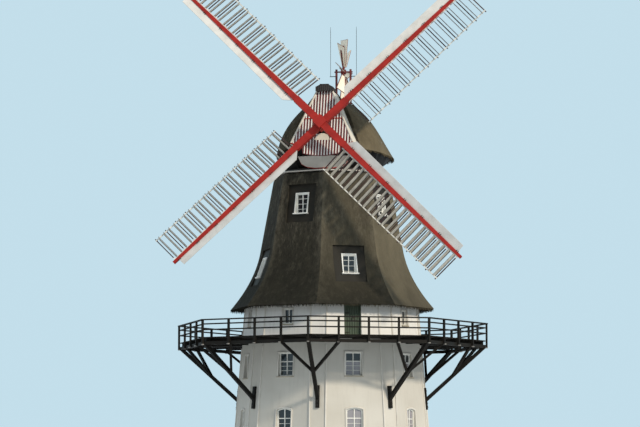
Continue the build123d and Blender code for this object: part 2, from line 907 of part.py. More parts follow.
def rib_face(rib, scale=1, base=0):
    """Right half of a section; scale and base fit its levels to a leaning plane."""
    t = roof_thatch
    def at(x, level):
        return (x, (level - base) * scale)
    ridge_out, top_out = at(0, rib.ridge), at(rib.top, rib.ridge - ridge_fall)
    eave_out, eave_in = at(rib.eave, eave_level), at(rib.eave - t, eave_level)
    top_in, ridge_in = at(0.8 * rib.top, rib.ridge - t - ridge_fall), at(0, rib.ridge - t)
    shoulder_in = at(rib.shoulder[0] - 0.7 * t, rib.shoulder[1] - 0.75 * t)
    waist_in = at(rib.waist[0] - 0.9 * t, rib.waist[1] - 0.35 * t)
    return make_face([
        Line(ridge_out, top_out),
        Spline(top_out, at(*rib.shoulder), at(*rib.waist), eave_out),
        Line(eave_out, eave_in),
        Spline(eave_in, waist_in, shoulder_in, top_in),
        Line(top_in, ridge_in), Line(ridge_in, ridge_out),
    ])


def cap_flank():
    leaning = Plane(origin=(0, front_rib_y(gable_foot_level), gable_foot_level), x_dir=(1, 0, 0),
                    z_dir=gable_plane.z_dir)
    sections = [leaning * rib_face(front_rib, 1 / cos(radians(gable_lean)), gable_foot_level)]
    for rib in ribs:
        sections.append(upright(rib_face(rib), -rib.y, 0))
    return loft(sections)


def rear_gable():
    rib = ribs[-1]
    outline = [Line((0, eave_level), (rib.eave, eave_level)),
               Spline((rib.eave, eave_level), rib.waist, rib.shoulder, (rib.top, rib.ridge - ridge_fall)),
               Line((rib.top, rib.ridge - ridge_fall), (0, rib.ridge)), Line((0, rib.ridge), (0, eave_level))]
    half = extrude(upright(make_face(outline), -rib.y, 0), -rear_gable_thickness)
    return half + mirror(half, about=Plane.YZ)


# Cap underside

def eave_outline():
    """Where the soffit meets the roof: right half from the front round to the rear."""
    inset = roof_thatch / 2
    front = gable_y(eave_level)
    points = [(0, front), (bib_half_high, front), (front_rib.eave - inset, front_rib_y(eave_level))]
    points += [(rib.eave - inset, rib.y) for rib in ribs]
    return points + [(0, rear_reach)]


def soffit_block(inset):
    """The solid inside the soffit: a ring on the turning ring joined to the eaves."""
    half = eave_outline()
    around = half + [(-x, y) for x, y in reversed(half[1:-1])]
    low = []
    high = []
    for x, y in around:
        reach = hypot(x, y)
        rim = turning_ring_radius - inset
        low.append((x * rim / reach, y * rim / reach, cap_low))
        high.append((x * (reach - inset) / reach, y * (reach - inset) / reach, eave_level))
    return loft([Face(Wire.make_polygon(low)), Face(Wire.make_polygon(high))], ruled=True)


def chin_plan(half, level, root):
    """Plan of the chin at a level: a blunt V whose point leans forward as it rises."""
    share = (level - chin_levels[0]) / (chin_levels[-1] - chin_levels[0])
    reach = chin_low_reach + (-gable_y(chin_levels[-1]) - chin_low_reach) * share
    back = chin_slope * half
    return [(0, -reach, level), (half, -reach + back, level), (half, -root, level),
            (-half, -root, level), (-half, -reach + back, level)]


def chin(outside):
    """The boat-shaped apron under the bib, filled back to the soffit."""
    clear_root = turning_ring_radius + gable_thickness
    foot, *upper = zip(chin_levels, chin_levels[1:], chin_halves, chin_halves[1:])
    low, high, near, far = foot
    block = solid_between(chin_plan(near, low, clear_root), chin_plan(far, high, clear_root))
    for low, high, near, far in upper:
        block += solid_between(chin_plan(near, low, chin_root), chin_plan(far, high, chin_root))
    return block - outside


def build_cap():
    gable = gable_boards()
    flank = cap_flank()
    thatch = flank + mirror(flank, about=Plane.YZ)
    save("gable_boards", [gable])
    cheek = gable_cheek() - flank
    save("gable_cheeks", both(cheek))
    save("cheek_gussets", both(cheek_gusset() - flank - cheek))
    save("neck_panel", [neck_panel()])
    save("cap_thatch", [thatch])
    save("hood", [hood() - thatch - gable])
    save("rear_gable", [rear_gable()])
    outside = soffit_block(0)
    shell = outside - soffit_block(soffit_board)
    for sheer in sheers():
        shell -= sheer
    save("cap_soffit", [shell])
    save("chin", [chin(outside)])


# Rotor, drawn with each sail along +X, its leading side on +Y and the wind on +Z

tail_journal_place = (hub_reach + tail_beam_place) / shaft_along
neck_journal_place = (hub_reach - neck_beam_reach) / shaft_along
poll_half = stock_offset + stock_root_depth / 2 + poll_margin
lattice_end = sail_length - 200
bay_length = (lattice_end - sail_start) / sail_bays


def stock_half_width(r):
    share = (r - stock_boss_reach) / (sail_length - stock_boss_reach)
    return (stock_root_width + (stock_tip_width - stock_root_width) * share) / 2


def weather_slope(r):
    """Rise of the sail's surface per millimetre off the stock; the sail twists along it."""
    share = (r - sail_start) / (lattice_end - sail_start)
    root, tip = tan(radians(weather_root)), tan(radians(weather_tip))
    return root + (tip - root) * share


def half_stock():
    def section(r, width, depth):
        return [(r, y * width / 2, z * depth / 2) for y, z in ((-1, -1), (1, -1), (1, 1), (-1, 1))]
    return solid_between(section(stock_boss_reach, stock_root_width, stock_root_depth),
                         section(sail_length, stock_tip_width, stock_tip_depth))


def stock():
    boss = Box(2 * stock_boss_reach, stock_boss_width, stock_root_depth)
    arm = half_stock()
    return boss + arm + Rot(0, 0, 180) * arm


def windshaft():
    reach = bearing_length / 2 + journal_margin
    neck_front, neck_back = -neck_journal_place + reach, -neck_journal_place - reach
    tail_front, tail_back = -tail_journal_place + reach, -tail_journal_place - reach
    shoulder = (shaft_radius_neck + neck_journal_radius) / 2
    profile = [
        (0, -poll_half), (shaft_radius_neck, -poll_half), (shaft_radius_neck, neck_front),
        (neck_journal_radius, neck_front), (neck_journal_radius, neck_back), (shoulder, neck_back),
        (shaft_radius_tail, tail_front), (tail_journal_radius, tail_front),
        (tail_journal_radius, tail_back), (0, tail_back),
    ]
    return revolve(Plane.XZ * make_face(Polyline(*profile, close=True)), Axis.Z)


def on_sail(r, t, rise=0):
    """A point of the twisted sail surface, t to the leading side of the stock."""
    return Vector(r, t, weather_slope(r) * t + rise)


def sail_bar(start, end, width, height):
    """A bar whose height stands square to the sail's plane."""
    run = end - start
    plane = Plane(origin=start, x_dir=Vector(0, 0, 1).cross(run).normalized(), z_dir=run.normalized())
    return plane * extrude(Rectangle(width, height), run.length)


def lath(t_from_stock, t_flat):
    """A lath along the sail: beside the stock when t_from_stock is given, else at t_flat."""
    ends = []
    for r in (sail_start - bar_size, lattice_end + bar_size):
        t = -stock_half_width(r) - t_from_stock if t_flat is None else -t_flat
        ends.append(on_sail(r, t, lath_depth / 4))
    return sail_bar(ends[0], ends[1], lath_width, lath_depth)


def sail_parts():
    """The lattice, the shutters and the leading board of one sail."""
    arm = half_stock()
    inner = lath(lath_width / 2, None) - arm
    outer = lath(0, outer_lath_offset)
    lattice = inner + outer
    for k in range(sail_bays + 1):
        r = sail_start + k * bay_length
        far = outer_lath_offset + lath_width / 2 + bar_overhang
        lattice += sail_bar(on_sail(r, 0), on_sail(r, -far), bar_size, bar_size) - arm
    blades = []
    turn = radians(shutter_turn)
    for k in range(sail_bays * shutters_per_bay):
        r = sail_start + (k + 0.5) * bay_length / shutters_per_bay
        near, far = on_sail(r, -stock_half_width(r) - lath_width), on_sail(r, -outer_lath_offset)
        run = far - near
        plane = Plane(origin=near - run.normalized() * lath_width / 2,
                      x_dir=(cos(turn), 0, -sin(turn)), z_dir=run.normalized())
        blade = plane * extrude(Rectangle(shutter_width, shutter_thickness), run.length + lath_width)
        blades.append(blade)
    slats = [blade - inner - outer - arm for blade in blades]
    return lattice, slats, leading_board()


def leading_board():
    lean = radians(board_lean)
    def edges(r_stock, r_edge):
        t, rise = board_width * cos(lean), board_width * sin(lean)
        skin = Vector(0, -sin(lean), cos(lean)) * board_thickness
        start = Vector(r_stock, stock_half_width(r_stock), 0)
        edge = Vector(r_edge, stock_half_width(r_edge) + t, rise)
        return [start, edge, edge + skin, start + skin]
    board = solid_between(edges(board_start, board_start + board_slant),
                          edges(lattice_end - board_end, lattice_end - board_end))
    return board - half_stock()


def build_rotor():
    stocks = [Rot(0, 0, 135) * Pos(0, 0, stock_offset) * stock(),
              Rot(0, 0, 45) * Pos(0, 0, -stock_offset) * stock()]
    block = Rot(0, 0, 45) * Box(poll_size, poll_size, 2 * poll_half)
    for timber in stocks:
        block -= timber
    save("stocks", [rotor_plane * timber for timber in stocks])
    save("poll_end", [rotor_plane * block])
    save("windshaft", [rotor_plane * windshaft()])
    lattice, slats, board = sail_parts()
    boards = []
    shutters = []
    for number, turn in enumerate((135, 45, 315, 225), 1):
        offset = stock_offset if number % 2 else -stock_offset
        place = rotor_plane * Rot(0, 0, turn) * Pos(0, 0, offset)
        save(f"sail_lattice_{number}", [place * lattice])
        boards.append(place * board)
        shutters += [place * slat for slat in slats]
    save("leading_boards", boards)
    save("sail_shutters", shutters)


# Fantail and its stage

def along_x(shape):
    """Lays a shape drawn up the Z axis along X, at the fan's centre."""
    return Pos(0, fan_reach, fan_level) * Rot(0, 90, 0) * shape


def fan_blade():
    """A flat blade on its arm, drawn along +Y of the fan's own plane."""
    length = fan_radius - fan_blade_root
    half_root, half_tip = fan_blade_root_width / 2, fan_blade_tip_width / 2
    outline = [(-half_root, 0), (half_root, 0), (half_tip, length), (-half_tip, length)]
    pitch = Rot(0, fan_blade_pitch, 0)
    board = extrude(make_face(Polyline(*outline, close=True)), fan_blade_thickness)
    arm_end = fan_radius - fan_blade_tip_width / 2
    arm = Pos(0, arm_end / 2, 0) * Box(fan_arm_size, arm_end, fan_arm_size)
    return pitch * Pos(0, fan_blade_root, fan_arm_size / 2) * board, pitch * arm


def build_fan():
    board, arm = fan_blade()
    axle_length = fan_post_spacing + fan_post_size + 2 * fan_arm_size
    axle = Cylinder(fan_axle_radius, axle_length)
    hub = Cylinder(fan_hub_radius, fan_hub_length)
    turns = [side_turn * k for k in range(fan_blades)]
    for turn in turns:
        hub += turned(arm, turn)
    save("fan_hub", [along_x(hub + axle)])
    save("fan_boards", [along_x(turned(board, turn)) for turn in turns])


def fan_post():
    foot = sheer_top + fan_sill_size
    top = fan_level + fan_post_rise
    x = fan_post_spacing / 2
    post = Pos(x, fan_reach, (foot + top) / 2) * Box(fan_post_size, fan_post_size, top - foot)
    return post - along_x(Cylinder(fan_axle_radius + journal_gap, 2 * fan_post_spacing))


def fan_raker():
    """The long strut from the end of a sheer up to a post."""
    start = (sheer_spacing / 2, sheer_rear - fan_girt_size, sheer_top)
    end = (fan_post_spacing / 2, fan_reach, fan_girt_levels[1])
    strut = bar_between(start, end, fan_girt_size, fan_girt_size) - fan_post()
    cut = Pos(0, 0, sheer_top / 2) * Box(4 * sheer_rear, 4 * sheer_rear, sheer_top)
    return (strut - cut).solids().sort_by(Axis.Z)[0]


def build_fan_stage():
    x = fan_post_spacing / 2
    inner = x - fan_post_size / 2
    sill = Pos(0, fan_reach, sheer_top + fan_sill_size / 2) * Box(
        sheer_spacing + sheer_width, fan_sill_size, fan_sill_size)
    save("fan_posts", both(fan_post()))
    save("fan_rakers", both(fan_raker()))
    girts = [Pos(0, fan_reach, level) * Box(2 * inner, fan_girt_size, fan_girt_size)
             for level in fan_girt_levels]
    start = rear_reach + rear_gable_thickness
    end = fan_reach - fan_post_size / 2
    tie = Pos(x, (start + end) / 2, fan_girt_levels[0]) * Box(fan_girt_size, end - start, fan_girt_size)
    save("fan_girts", [sill] + girts + both(tie))
    outer = x + fan_post_size / 2
    tip = rod_spread + rod_arm_size
    arm = Pos((outer + tip) / 2, fan_reach, rod_level) * Box(tip - outer, rod_arm_size, rod_arm_size)
    rod_foot = rod_level + rod_arm_size / 2
    rod = Pos(rod_spread, fan_reach, (rod_foot + rod_top) / 2) * Cylinder(rod_radius, rod_top - rod_foot)
    save("lightning_rods", both(arm + rod))


os.makedirs("parts", exist_ok=True)
build_base()
build_doors()
build_smock()
build_floors()
build_gallery()
build_curb()
build_cap_frame()
build_cap()
build_rotor()
build_fan()
build_fan_stage()
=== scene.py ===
# %% [markdown]
# # A gallery smock mill
# This lesson dresses a tall thatched windmill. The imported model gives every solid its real
# size and place, so the script only adds what the eye needs: paint, thatch, limewash, boards
# and battens, window bars and the small timber detail. Lengths are metres unless a name says
# otherwise, +Z is up, and the sails look along -Y.

# %% Load the frame
from collections import namedtuple
from math import atan2, cos, pi, radians, sin, sqrt, tan

import bmesh
import bpy
from mathutils import Matrix, Vector


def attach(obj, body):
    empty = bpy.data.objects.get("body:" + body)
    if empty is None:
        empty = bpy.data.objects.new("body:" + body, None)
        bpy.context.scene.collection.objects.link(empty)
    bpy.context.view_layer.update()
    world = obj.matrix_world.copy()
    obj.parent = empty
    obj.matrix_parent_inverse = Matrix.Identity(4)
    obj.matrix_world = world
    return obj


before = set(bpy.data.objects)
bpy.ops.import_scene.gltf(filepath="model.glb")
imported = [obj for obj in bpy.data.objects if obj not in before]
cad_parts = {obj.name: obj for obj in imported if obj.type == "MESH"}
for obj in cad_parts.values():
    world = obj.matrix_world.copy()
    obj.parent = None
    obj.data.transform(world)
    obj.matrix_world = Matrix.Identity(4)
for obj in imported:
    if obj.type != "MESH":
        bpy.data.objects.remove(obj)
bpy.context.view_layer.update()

# %% [markdown]
# ## Colours and nodes
# A tone is easiest to keep as a hex code, as a screen shows it, while Blender's sockets want
# linear values, so one function converts it. Another adds a node with its settings and links.
# A wrapper for each kind of node would be shorter to call, but this way every node keeps the
# name that it has in Blender's own menus.

# %% Colours and nodes


def colour(code):
    """Linear colour from an sRGB hex code such as d8d2c8."""
    channels = [int(code[i:i + 2], 16) / 255 for i in (0, 2, 4)]
    linear = [value / 12.92 if value <= 0.04045 else ((value + 0.055) / 1.055) ** 2.4
              for value in channels]
    return (*linear, 1.0)


def feed(tree, socket, value):
    """Gives a socket a link or a plain value; a node gives its first live output."""
    if isinstance(value, bpy.types.Node):
        value = next(output for output in value.outputs if output.enabled)
    if isinstance(value, bpy.types.NodeSocket):
        tree.links.new(value, socket)
    elif isinstance(value, str):
        socket.default_value = colour(value)
    else:
        socket.default_value = value


def add(tree, kind, inputs=(), **settings):
    """Adds a node; its inputs come in their order, or in a dictionary by name or number."""
    node = tree.nodes.new(kind)
    for name, value in settings.items():
        setattr(node, name, value)
    given = inputs.items() if isinstance(inputs, dict) else enumerate(inputs)
    for key, value in given:
        feed(tree, node.inputs[key], value)
    return node


print("mid grey is", [round(value, 3) for value in colour("808080")])

# %% [markdown]
# ## Camera
# A mill this tall is seen from far off and close to the ground, a little to the right of the
# sails. A camera could be aimed by eye, but here the numbers of the view are known: how far,
# how high, how long the lens is in pixels, and where the tower's axis and the horizon fall.
# The tilt and the swing then follow from them.

# %% Camera
camera_distance = 150.0
camera_turn = radians(8.2)
eye_height = 1.6
image_width, image_height = 640, 427
focal_pixels = 2589.0
sensor_width = 36.0
axis_pixel = 331.5
horizon_pixel = 470.0
far_end = 600.0

camera_data = bpy.data.cameras.new("camera")
camera_data.sensor_width = sensor_width
camera_data.lens = focal_pixels / image_width * sensor_width
camera_data.clip_end = far_end
camera = bpy.data.objects.new("camera", camera_data)
camera_across = camera_distance * sin(camera_turn)
camera_back = camera_distance * cos(camera_turn)
camera.location = (camera_across, -camera_back, eye_height)
tilt_up = atan2(horizon_pixel - image_height / 2, focal_pixels)
swing_left = atan2(axis_pixel - image_width / 2, focal_pixels)
camera.rotation_euler = (pi / 2 + tilt_up, 0, camera_turn + swing_left)
bpy.context.scene.collection.objects.link(camera)
bpy.context.scene.camera = camera
print("lens", round(camera_data.lens, 1), "mm")

# %% [markdown]
# ## Floor
# The mill stands on a plain pale floor. One square face is enough, far larger than the view,
# so that its edge never shows. It is marked as the stage, because it is no part of the mill.

# %% Floor
floor_half = 400.0
floor_tone = "d9dde0"
square = ((-1, -1), (1, -1), (1, 1), (-1, 1))


def build_floor():
    mesh = bpy.data.meshes.new("floor")
    corners = [(x * floor_half, y * floor_half, 0) for x, y in square]
    mesh.from_pydata(corners, [], [(0, 1, 2, 3)])
    floor = bpy.data.objects.new("floor", mesh)
    bpy.context.scene.collection.objects.link(floor)
    material = bpy.data.materials.new("floor_pale")
    material.use_nodes = True
    shader = material.node_tree.nodes["Principled BSDF"]
    shader.inputs["Base Color"].default_value = colour(floor_tone)
    shader.inputs["Roughness"].default_value = 0.9
    mesh.materials.append(material)


build_floor()
print("floor", 2 * floor_half, "metres wide")

# %% [markdown]
# ## Backdrop and sun
# Soft light comes from all round, and one broad low sun from the right front, so that the
# left-hand sides of the tower lie in shade. The world could have one tone for both jobs, but
# a paler backdrop shouldn't throw more light on the mill. Light Path tells them apart: rays
# from the camera, and those that a shiny or clear surface sends on, see the backdrop's tone.

# %% Backdrop and sun
soft_light, backdrop_tone = "cfdde8", "d2effc"
soft_strength = 0.85
sun_turn, sun_height, sun_spread = radians(52), radians(30), radians(6)
sun_strength, sun_tone = 2.6, "fff2de"


def build_backdrop():
    world = bpy.data.worlds.new("studio")
    bpy.context.scene.world = world
    world.use_nodes = True
    tree = world.node_tree
    background = tree.nodes["Background"]
    ray = add(tree, "ShaderNodeLightPath").outputs
    sent_on = add(tree, "ShaderNodeMath", (ray["Is Glossy Ray"], ray["Is Transmission Ray"]),
                  operation="ADD")
    seen = add(tree, "ShaderNodeMath", (ray["Is Camera Ray"], sent_on), operation="ADD")
    shown = add(tree, "ShaderNodeMix", {0: seen, 6: soft_light, 7: backdrop_tone}, data_type="RGBA")
    feed(tree, background.inputs["Color"], shown)
    feed(tree, background.inputs["Strength"], soft_strength)


def build_sun():
    sun_data = bpy.data.lights.new("sun", "SUN")
    sun_data.energy = sun_strength
    sun_data.angle = sun_spread
    sun_data.color = colour(sun_tone)[:3]
    sun = bpy.data.objects.new("sun", sun_data)
    level = cos(sun_height)
    towards = Vector((sin(sun_turn) * level, -cos(sun_turn) * level, sin(sun_height)))
    sun.rotation_euler = towards.to_track_quat("Z", "Y").to_euler()
    bpy.context.scene.collection.objects.link(sun)


build_backdrop()
build_sun()
bpy.context.scene.view_settings.view_transform = "Standard"
print("lights", [item.name for item in bpy.data.lights])

# %% [markdown]
# ## What every finish shares
# Paint, reed, limewash and iron all start as one shader that reads Object coordinates, so a
# pattern keeps its real size and stays on its piece when the mill turns. An image could give
# the patterns, but noise needs no file and never repeats. Each noise is asked for by the size
# of its patches in millimetres. Real grain and reed are finer than a pixel from this far, so
# those sizes are drawn as coarse as they need to be to show.

# %% What every finish shares


def finish_of(name, roughness, metallic=0.0, gloss=0.5):
    """A new material with its node tree, its shader and its object coordinates."""
    material = bpy.data.materials.new(name)
    material.use_nodes = True
    tree = material.node_tree
    shader = tree.nodes["Principled BSDF"]
    shader.inputs["Roughness"].default_value = roughness
    shader.inputs["Metallic"].default_value = metallic
    shader.inputs["Specular IOR Level"].default_value = gloss
    place = add(tree, "ShaderNodeTexCoord").outputs["Object"]
    return material, tree, shader, place


def patches(tree, place, sizes, detail=3.0, roughness=0.55):
    """Noise in patches of a size in millimetres, one for all ways or one each for x, y, z."""
    along = sizes if isinstance(sizes, tuple) else (sizes, sizes, sizes)
    scaled = add(tree, "ShaderNodeMapping", {
        "Vector": place, "Scale": [1000 / size for size in along]})
    return add(tree, "ShaderNodeTexNoise", {
        "Vector": scaled, "Scale": 1.0, "Detail": detail, "Roughness": roughness})


def toned(tree, pattern, start, full, under, over, most=1.0):
    """Lays one tone over another as a pattern goes from start to full, up to a share."""
    share = add(tree, "ShaderNodeMapRange", (pattern, start, full, 0.0, most))
    return add(tree, "ShaderNodeMix", {0: share, 6: under, 7: over}, data_type="RGBA")


def close_finish(tree, shader, tone, relief, depth, strength):
    """Feeds a finish's tone to its shader, and its relief as bump of a depth in metres."""
    feed(tree, shader.inputs["Base Color"], tone)
    feed(tree, shader.inputs["Normal"], add(tree, "ShaderNodeBump", {
        "Height": relief, "Distance": depth, "Strength": strength}))


print("finishes can start")

# %% [markdown]
# ## Painted and tarred timber
# Most of the mill's wood is brushed with oil paint or tar. Such a coat is dull, follows the
# grain under it, and thins to bare wood in patches. Each board could be painted by its own
# pattern, but one recipe with a grain direction serves them all: a noise drawn out along the
# wood, times a broad one, gives the worn spots, and the broad one also dulls the sheen.

# %% Painted and tarred timber
# Millimetres: 22 lines of grain to a metre across the wood, 1.5 along it, 9 where it is even.
grain_across, grain_along, grain_even = 45.45, 666.7, 111.1
grain_sizes = {
    "x": (grain_along, grain_across, grain_across),
    "z": (grain_across, grain_across, grain_along),
    "all": grain_even,
}
coat_patch = 588.2


def painted_timber(name, paint, worn, wear=0.35, grain="z", roughness=0.6, gloss=0.5):
    """Brushed paint or tar on wood: two tones of the coat, and worn spots of a third."""
    material, tree, shader, place = finish_of(name, roughness, gloss=gloss)
    lines = patches(tree, place, grain_sizes[grain], 4.0)
    patch = patches(tree, place, coat_patch, 4.0)
    thin = add(tree, "ShaderNodeMath", (lines, patch), operation="MULTIPLY")
    coat = toned(tree, patch, 0.35, 0.75, *paint)
    tone = toned(tree, thin, 0.62 - wear, 0.85 - wear, coat, worn, wear)
    sheen = add(tree, "ShaderNodeMapRange", (patch, 0.3, 0.8, roughness - 0.1, roughness + 0.2))
    feed(tree, shader.inputs["Roughness"], sheen)
    close_finish(tree, shader, tone, lines, 0.004, 0.6)
    return material


# %% Whites, creams and greys
# Window joinery: a clean warm white, the brightest thing on the walls.
frame_white = painted_timber("window_paint_white", ("f1f0ea", "dedcd3"), "a49c8c", 0.2)
# Cheeks and neck of the cap: old cream that reads as a soft band under the thatch.
cream = painted_timber("cream_paint", ("dcd6c8", "c9c2b2"), "9b9484", 0.3, "all")
# Leading boards: a flat cold white, a shade darker than the window joinery.
board_white = painted_timber("leading_board_white", ("d6d4cf", "c1bfba"), "98958d", 0.3, "all")
# Fan boards: the warmest cream, painted brighter than the other creams as painted light, so they
# stay pale in shade against the thatch.
fan_boards_painted_light = painted_timber("fan_cream_paint", ("f4ebd8", "e6dcc6"), "b5a993", 0.25, "all")
# Chin and curb: pale grey, dirty where rain runs off the cap.
pale_grey = painted_timber("pale_grey_paint", ("cfc9c0", "bcb6ad"), "8c887e", 0.3, "all")
# Post feet: lead grey blocks that dot the deck's edge.
foot_grey = painted_timber("post_foot_grey", ("8b8781", "77736d"), "4b4741", 0.3, "all")
# Sills and beads: brushed limewash and plaster, dull, even and without a sheen.
sill_stone = painted_timber("sill_limewash", ("b3aa97", "9c9483"), "7d7666", 0.3, "all", 0.85)
plaster_white = painted_timber("plaster_bead", ("dcd8cf", "cdc8bd"), "a9a192", 0.2, "all", 0.8)
print("materials", len(bpy.data.materials))

# %% Reds and greens
# Stocks and rails: bright signal red, drier than it was, so it has little gloss.
red_paint = painted_timber("red_paint", ("a3261e", "861d18"), "581613", 0.3, "all", gloss=0.25)
# Boards behind the battens: wine red gone dusty, which makes the stripes read.
dark_red = painted_timber("batten_field_red", ("6c3031", "592627"), "6f5650", 0.2)
# Fan stage: deep red that turns nearly black in shade.
fan_red = painted_timber("fan_red_paint", ("6e2420", "561c1a"), "3a1a18", 0.3, "all")
# Shutter shade lines: brown black, painted shade along the rear edge of each shutter.
shutter_shade_dark = painted_timber("shutter_shade_paint", ("241513", "33201c"), "4a3833", 0.3, "all")
# Doors: a muted bottle green.
door_green = painted_timber("door_paint_green", ("435040", "505d4b"), "6a7060", 0.25)
print("materials", len(bpy.data.materials))

# %% Tar, oak and bare boards
# Gallery timber: tar soaked in, almost without a highlight.
tarred = painted_timber("tarred_timber", ("15130f", "211d19"), "332d27", 0.3, "all", gloss=0.15)
# Underside of the cap: tarred boards, painted near black beyond the tar's own tone as painted shade
# under the cap.
underside_painted_shade = painted_timber("cap_underside_painted_shade", ("0b0a09", "13110f"), "1e1b18", 0.3, gloss=0.1)
# Sides of the window recesses: brown black boards.
recess_board = painted_timber("recess_boarding", ("24221d", "302c26"), "3a362e", 0.3, gloss=0.15)
# Hood: weathered dark boards that close the top of the gable.
hood_dark = painted_timber("hood_boards_dark", ("2b2523", "3a3330"), "544a44", 0.3)
# Frame inside: oiled oak, brown and matt.
old_oak = painted_timber("old_oak", ("4a3a28", "5b4932"), "2e241a", 0.35, "all", 0.75)
# Floors inside: plain softwood boards, walked dull.
plain_boards = painted_timber("plain_boards", ("7a6850", "8a775c"), "55473a", 0.3, "x", 0.8)
print("materials", len(bpy.data.materials))

# %% [markdown]
# ## Limewashed brick
# Many coats of limewash leave brick nearly smooth: the bond is felt more than seen, rain draws faint
# streaks down it, and splashing soils its foot. The eight walls face eight ways, so a brick texture
# laid flat would smear on most of them. Here the face's own normal turns the coordinates to run
# along each wall. Above the gallery the wash is painted paler, as painted light against the shade of
# the thatch skirt.

# %% Limewashed brick
brick_length, course_height, joint = 0.24, 0.075, 0.006
# Above this level the walls are painted paler: painted light against the shade of the thatch skirt.
painted_light_from, painted_light_full = 8.9, 9.0
splash_height = 1.1


def brick_relief(tree, place, parts):
    """Joints of the bond, laid along whichever wall the face belongs to."""
    normal = add(tree, "ShaderNodeNewGeometry").outputs["True Normal"]
    face = add(tree, "ShaderNodeSeparateXYZ", (normal,)).outputs
    part_y = add(tree, "ShaderNodeMath", (parts["Y"], face["X"]), operation="MULTIPLY")
    part_x = add(tree, "ShaderNodeMath", (parts["X"], face["Y"]), operation="MULTIPLY")
    along = add(tree, "ShaderNodeMath", (part_y, part_x), operation="SUBTRACT")
    flat = add(tree, "ShaderNodeCombineXYZ", (along, parts["Z"]))
    bond = add(tree, "ShaderNodeTexBrick", {
        "Vector": flat, "Scale": 1.0, "Mortar Size": joint, "Mortar Smooth": 0.6,
        "Brick Width": brick_length, "Row Height": course_height})
    return add(tree, "ShaderNodeMath", (bond.outputs["Fac"], -0.5), operation="MULTIPLY")


def limewashed_brick():
    material, tree, shader, place = finish_of("limewashed_brick", 0.85)
    parts = add(tree, "ShaderNodeSeparateXYZ", (place,)).outputs
    streak = patches(tree, place, (200, 200, 2857))
    grit = patches(tree, place, 71.43)
    patch = patches(tree, place, 2857, 4.0)
    tone = toned(tree, patch, 0.35, 0.7, "cfcbc1", "c2bdb2")
    # Painted light: a paler wash above the gallery, where the thatch skirt shades the walls.
    tone = toned(tree, parts["Z"], painted_light_from, painted_light_full, tone, "e8e6e0")
    tone = toned(tree, streak, 0.52, 0.8, tone, "a19c90", 0.22)
    splash = add(tree, "ShaderNodeMapRange", (parts["Z"], 0.0, splash_height, 0.5, 0.0))
    spots = add(tree, "ShaderNodeMapRange", (grit, 0.3, 0.6))
    soil = add(tree, "ShaderNodeMath", (splash, spots), operation="MULTIPLY")
    tone = add(tree, "ShaderNodeMix", {0: soil, 6: tone, 7: "8f8a7b"}, data_type="RGBA")
    rough = add(tree, "ShaderNodeMath", (grit, 0.5), operation="MULTIPLY")
    joints = brick_relief(tree, place, parts)
    relief = add(tree, "ShaderNodeMath", (joints, rough), operation="ADD")
    close_finish(tree, shader, tone, relief, 0.004, 0.5)
    return material


brick_white = limewashed_brick()
print("bricks", round(brick_length * 1000), "by", round(course_height * 1000), "mm")

# %% [markdown]
# ## Reed thatch
# Old reed is combed downwards, mossy in patches, and worn pale along the eight ridges where two
# sides meet. Its tone is painted darker towards the foot of each slope, and painted lighter on the
# faces that look towards the sun, as painted sunlight.
# Real reeds could be grown by the million, but from the ground only their streaks show. So
# stretched noises lay tone over tone, and the angle round the tower tells where a ridge is.

# %% Reed thatch
# Faces that look this way get a lighter tone: painted sunlight.
painted_sun_side = (0.92, -0.39, 0.0)
ridge_from, ridge_full = 0.29, 0.38
reed_gloss = 0.12


def off_side_middle(tree, parts):
    """Angle from the middle of the nearest of the tower's eight sides, in radians."""
    angle = add(tree, "ShaderNodeMath", (parts["Y"], parts["X"]), operation="ARCTAN2")
    positive = add(tree, "ShaderNodeMath", (angle, 2 * pi), operation="ADD")
    in_side = add(tree, "ShaderNodeMath", (positive, pi / 4), operation="MODULO")
    return add(tree, "ShaderNodeMath", (in_side, pi / 8), operation="SUBTRACT")


def worn_ridges(tree, parts, clumps, wear):
    """Share of ridge wear: strongest where two sides meet, broken up by the clumps."""
    off_middle = add(tree, "ShaderNodeMath", (off_side_middle(tree, parts),), operation="ABSOLUTE")
    ridge = add(tree, "ShaderNodeMapRange", (off_middle, ridge_from, ridge_full, 0.0, wear))
    broken = add(tree, "ShaderNodeMapRange", (clumps, 0.35, 0.6))
    return add(tree, "ShaderNodeMath", (ridge, broken), operation="MULTIPLY")


def painted_sunlight(tree, parts, broad):
    """Share of painted sunlight: a lighter tone on faces that look outwards and towards the sun."""
    normal = add(tree, "ShaderNodeTexCoord").outputs["Normal"]
    flat = add(tree, "ShaderNodeCombineXYZ", (parts["X"], parts["Y"]))
    away = add(tree, "ShaderNodeVectorMath", (flat,), operation="NORMALIZE")
    outward = add(tree, "ShaderNodeVectorMath", (normal, away), operation="DOT_PRODUCT")
    sunward = add(tree, "ShaderNodeVectorMath", (normal, painted_sun_side), operation="DOT_PRODUCT")
    sunny = add(tree, "ShaderNodeMapRange", (sunward, 0.55, 0.95))
    uneven = add(tree, "ShaderNodeMapRange", (broad, 0.2, 0.6, 0.35, 0.75))
    outer = add(tree, "ShaderNodeMapRange", (outward, 0.4, 0.6))
    share = add(tree, "ShaderNodeMath", (sunny, uneven), operation="MULTIPLY")
    return add(tree, "ShaderNodeMath", (share, outer), operation="MULTIPLY")


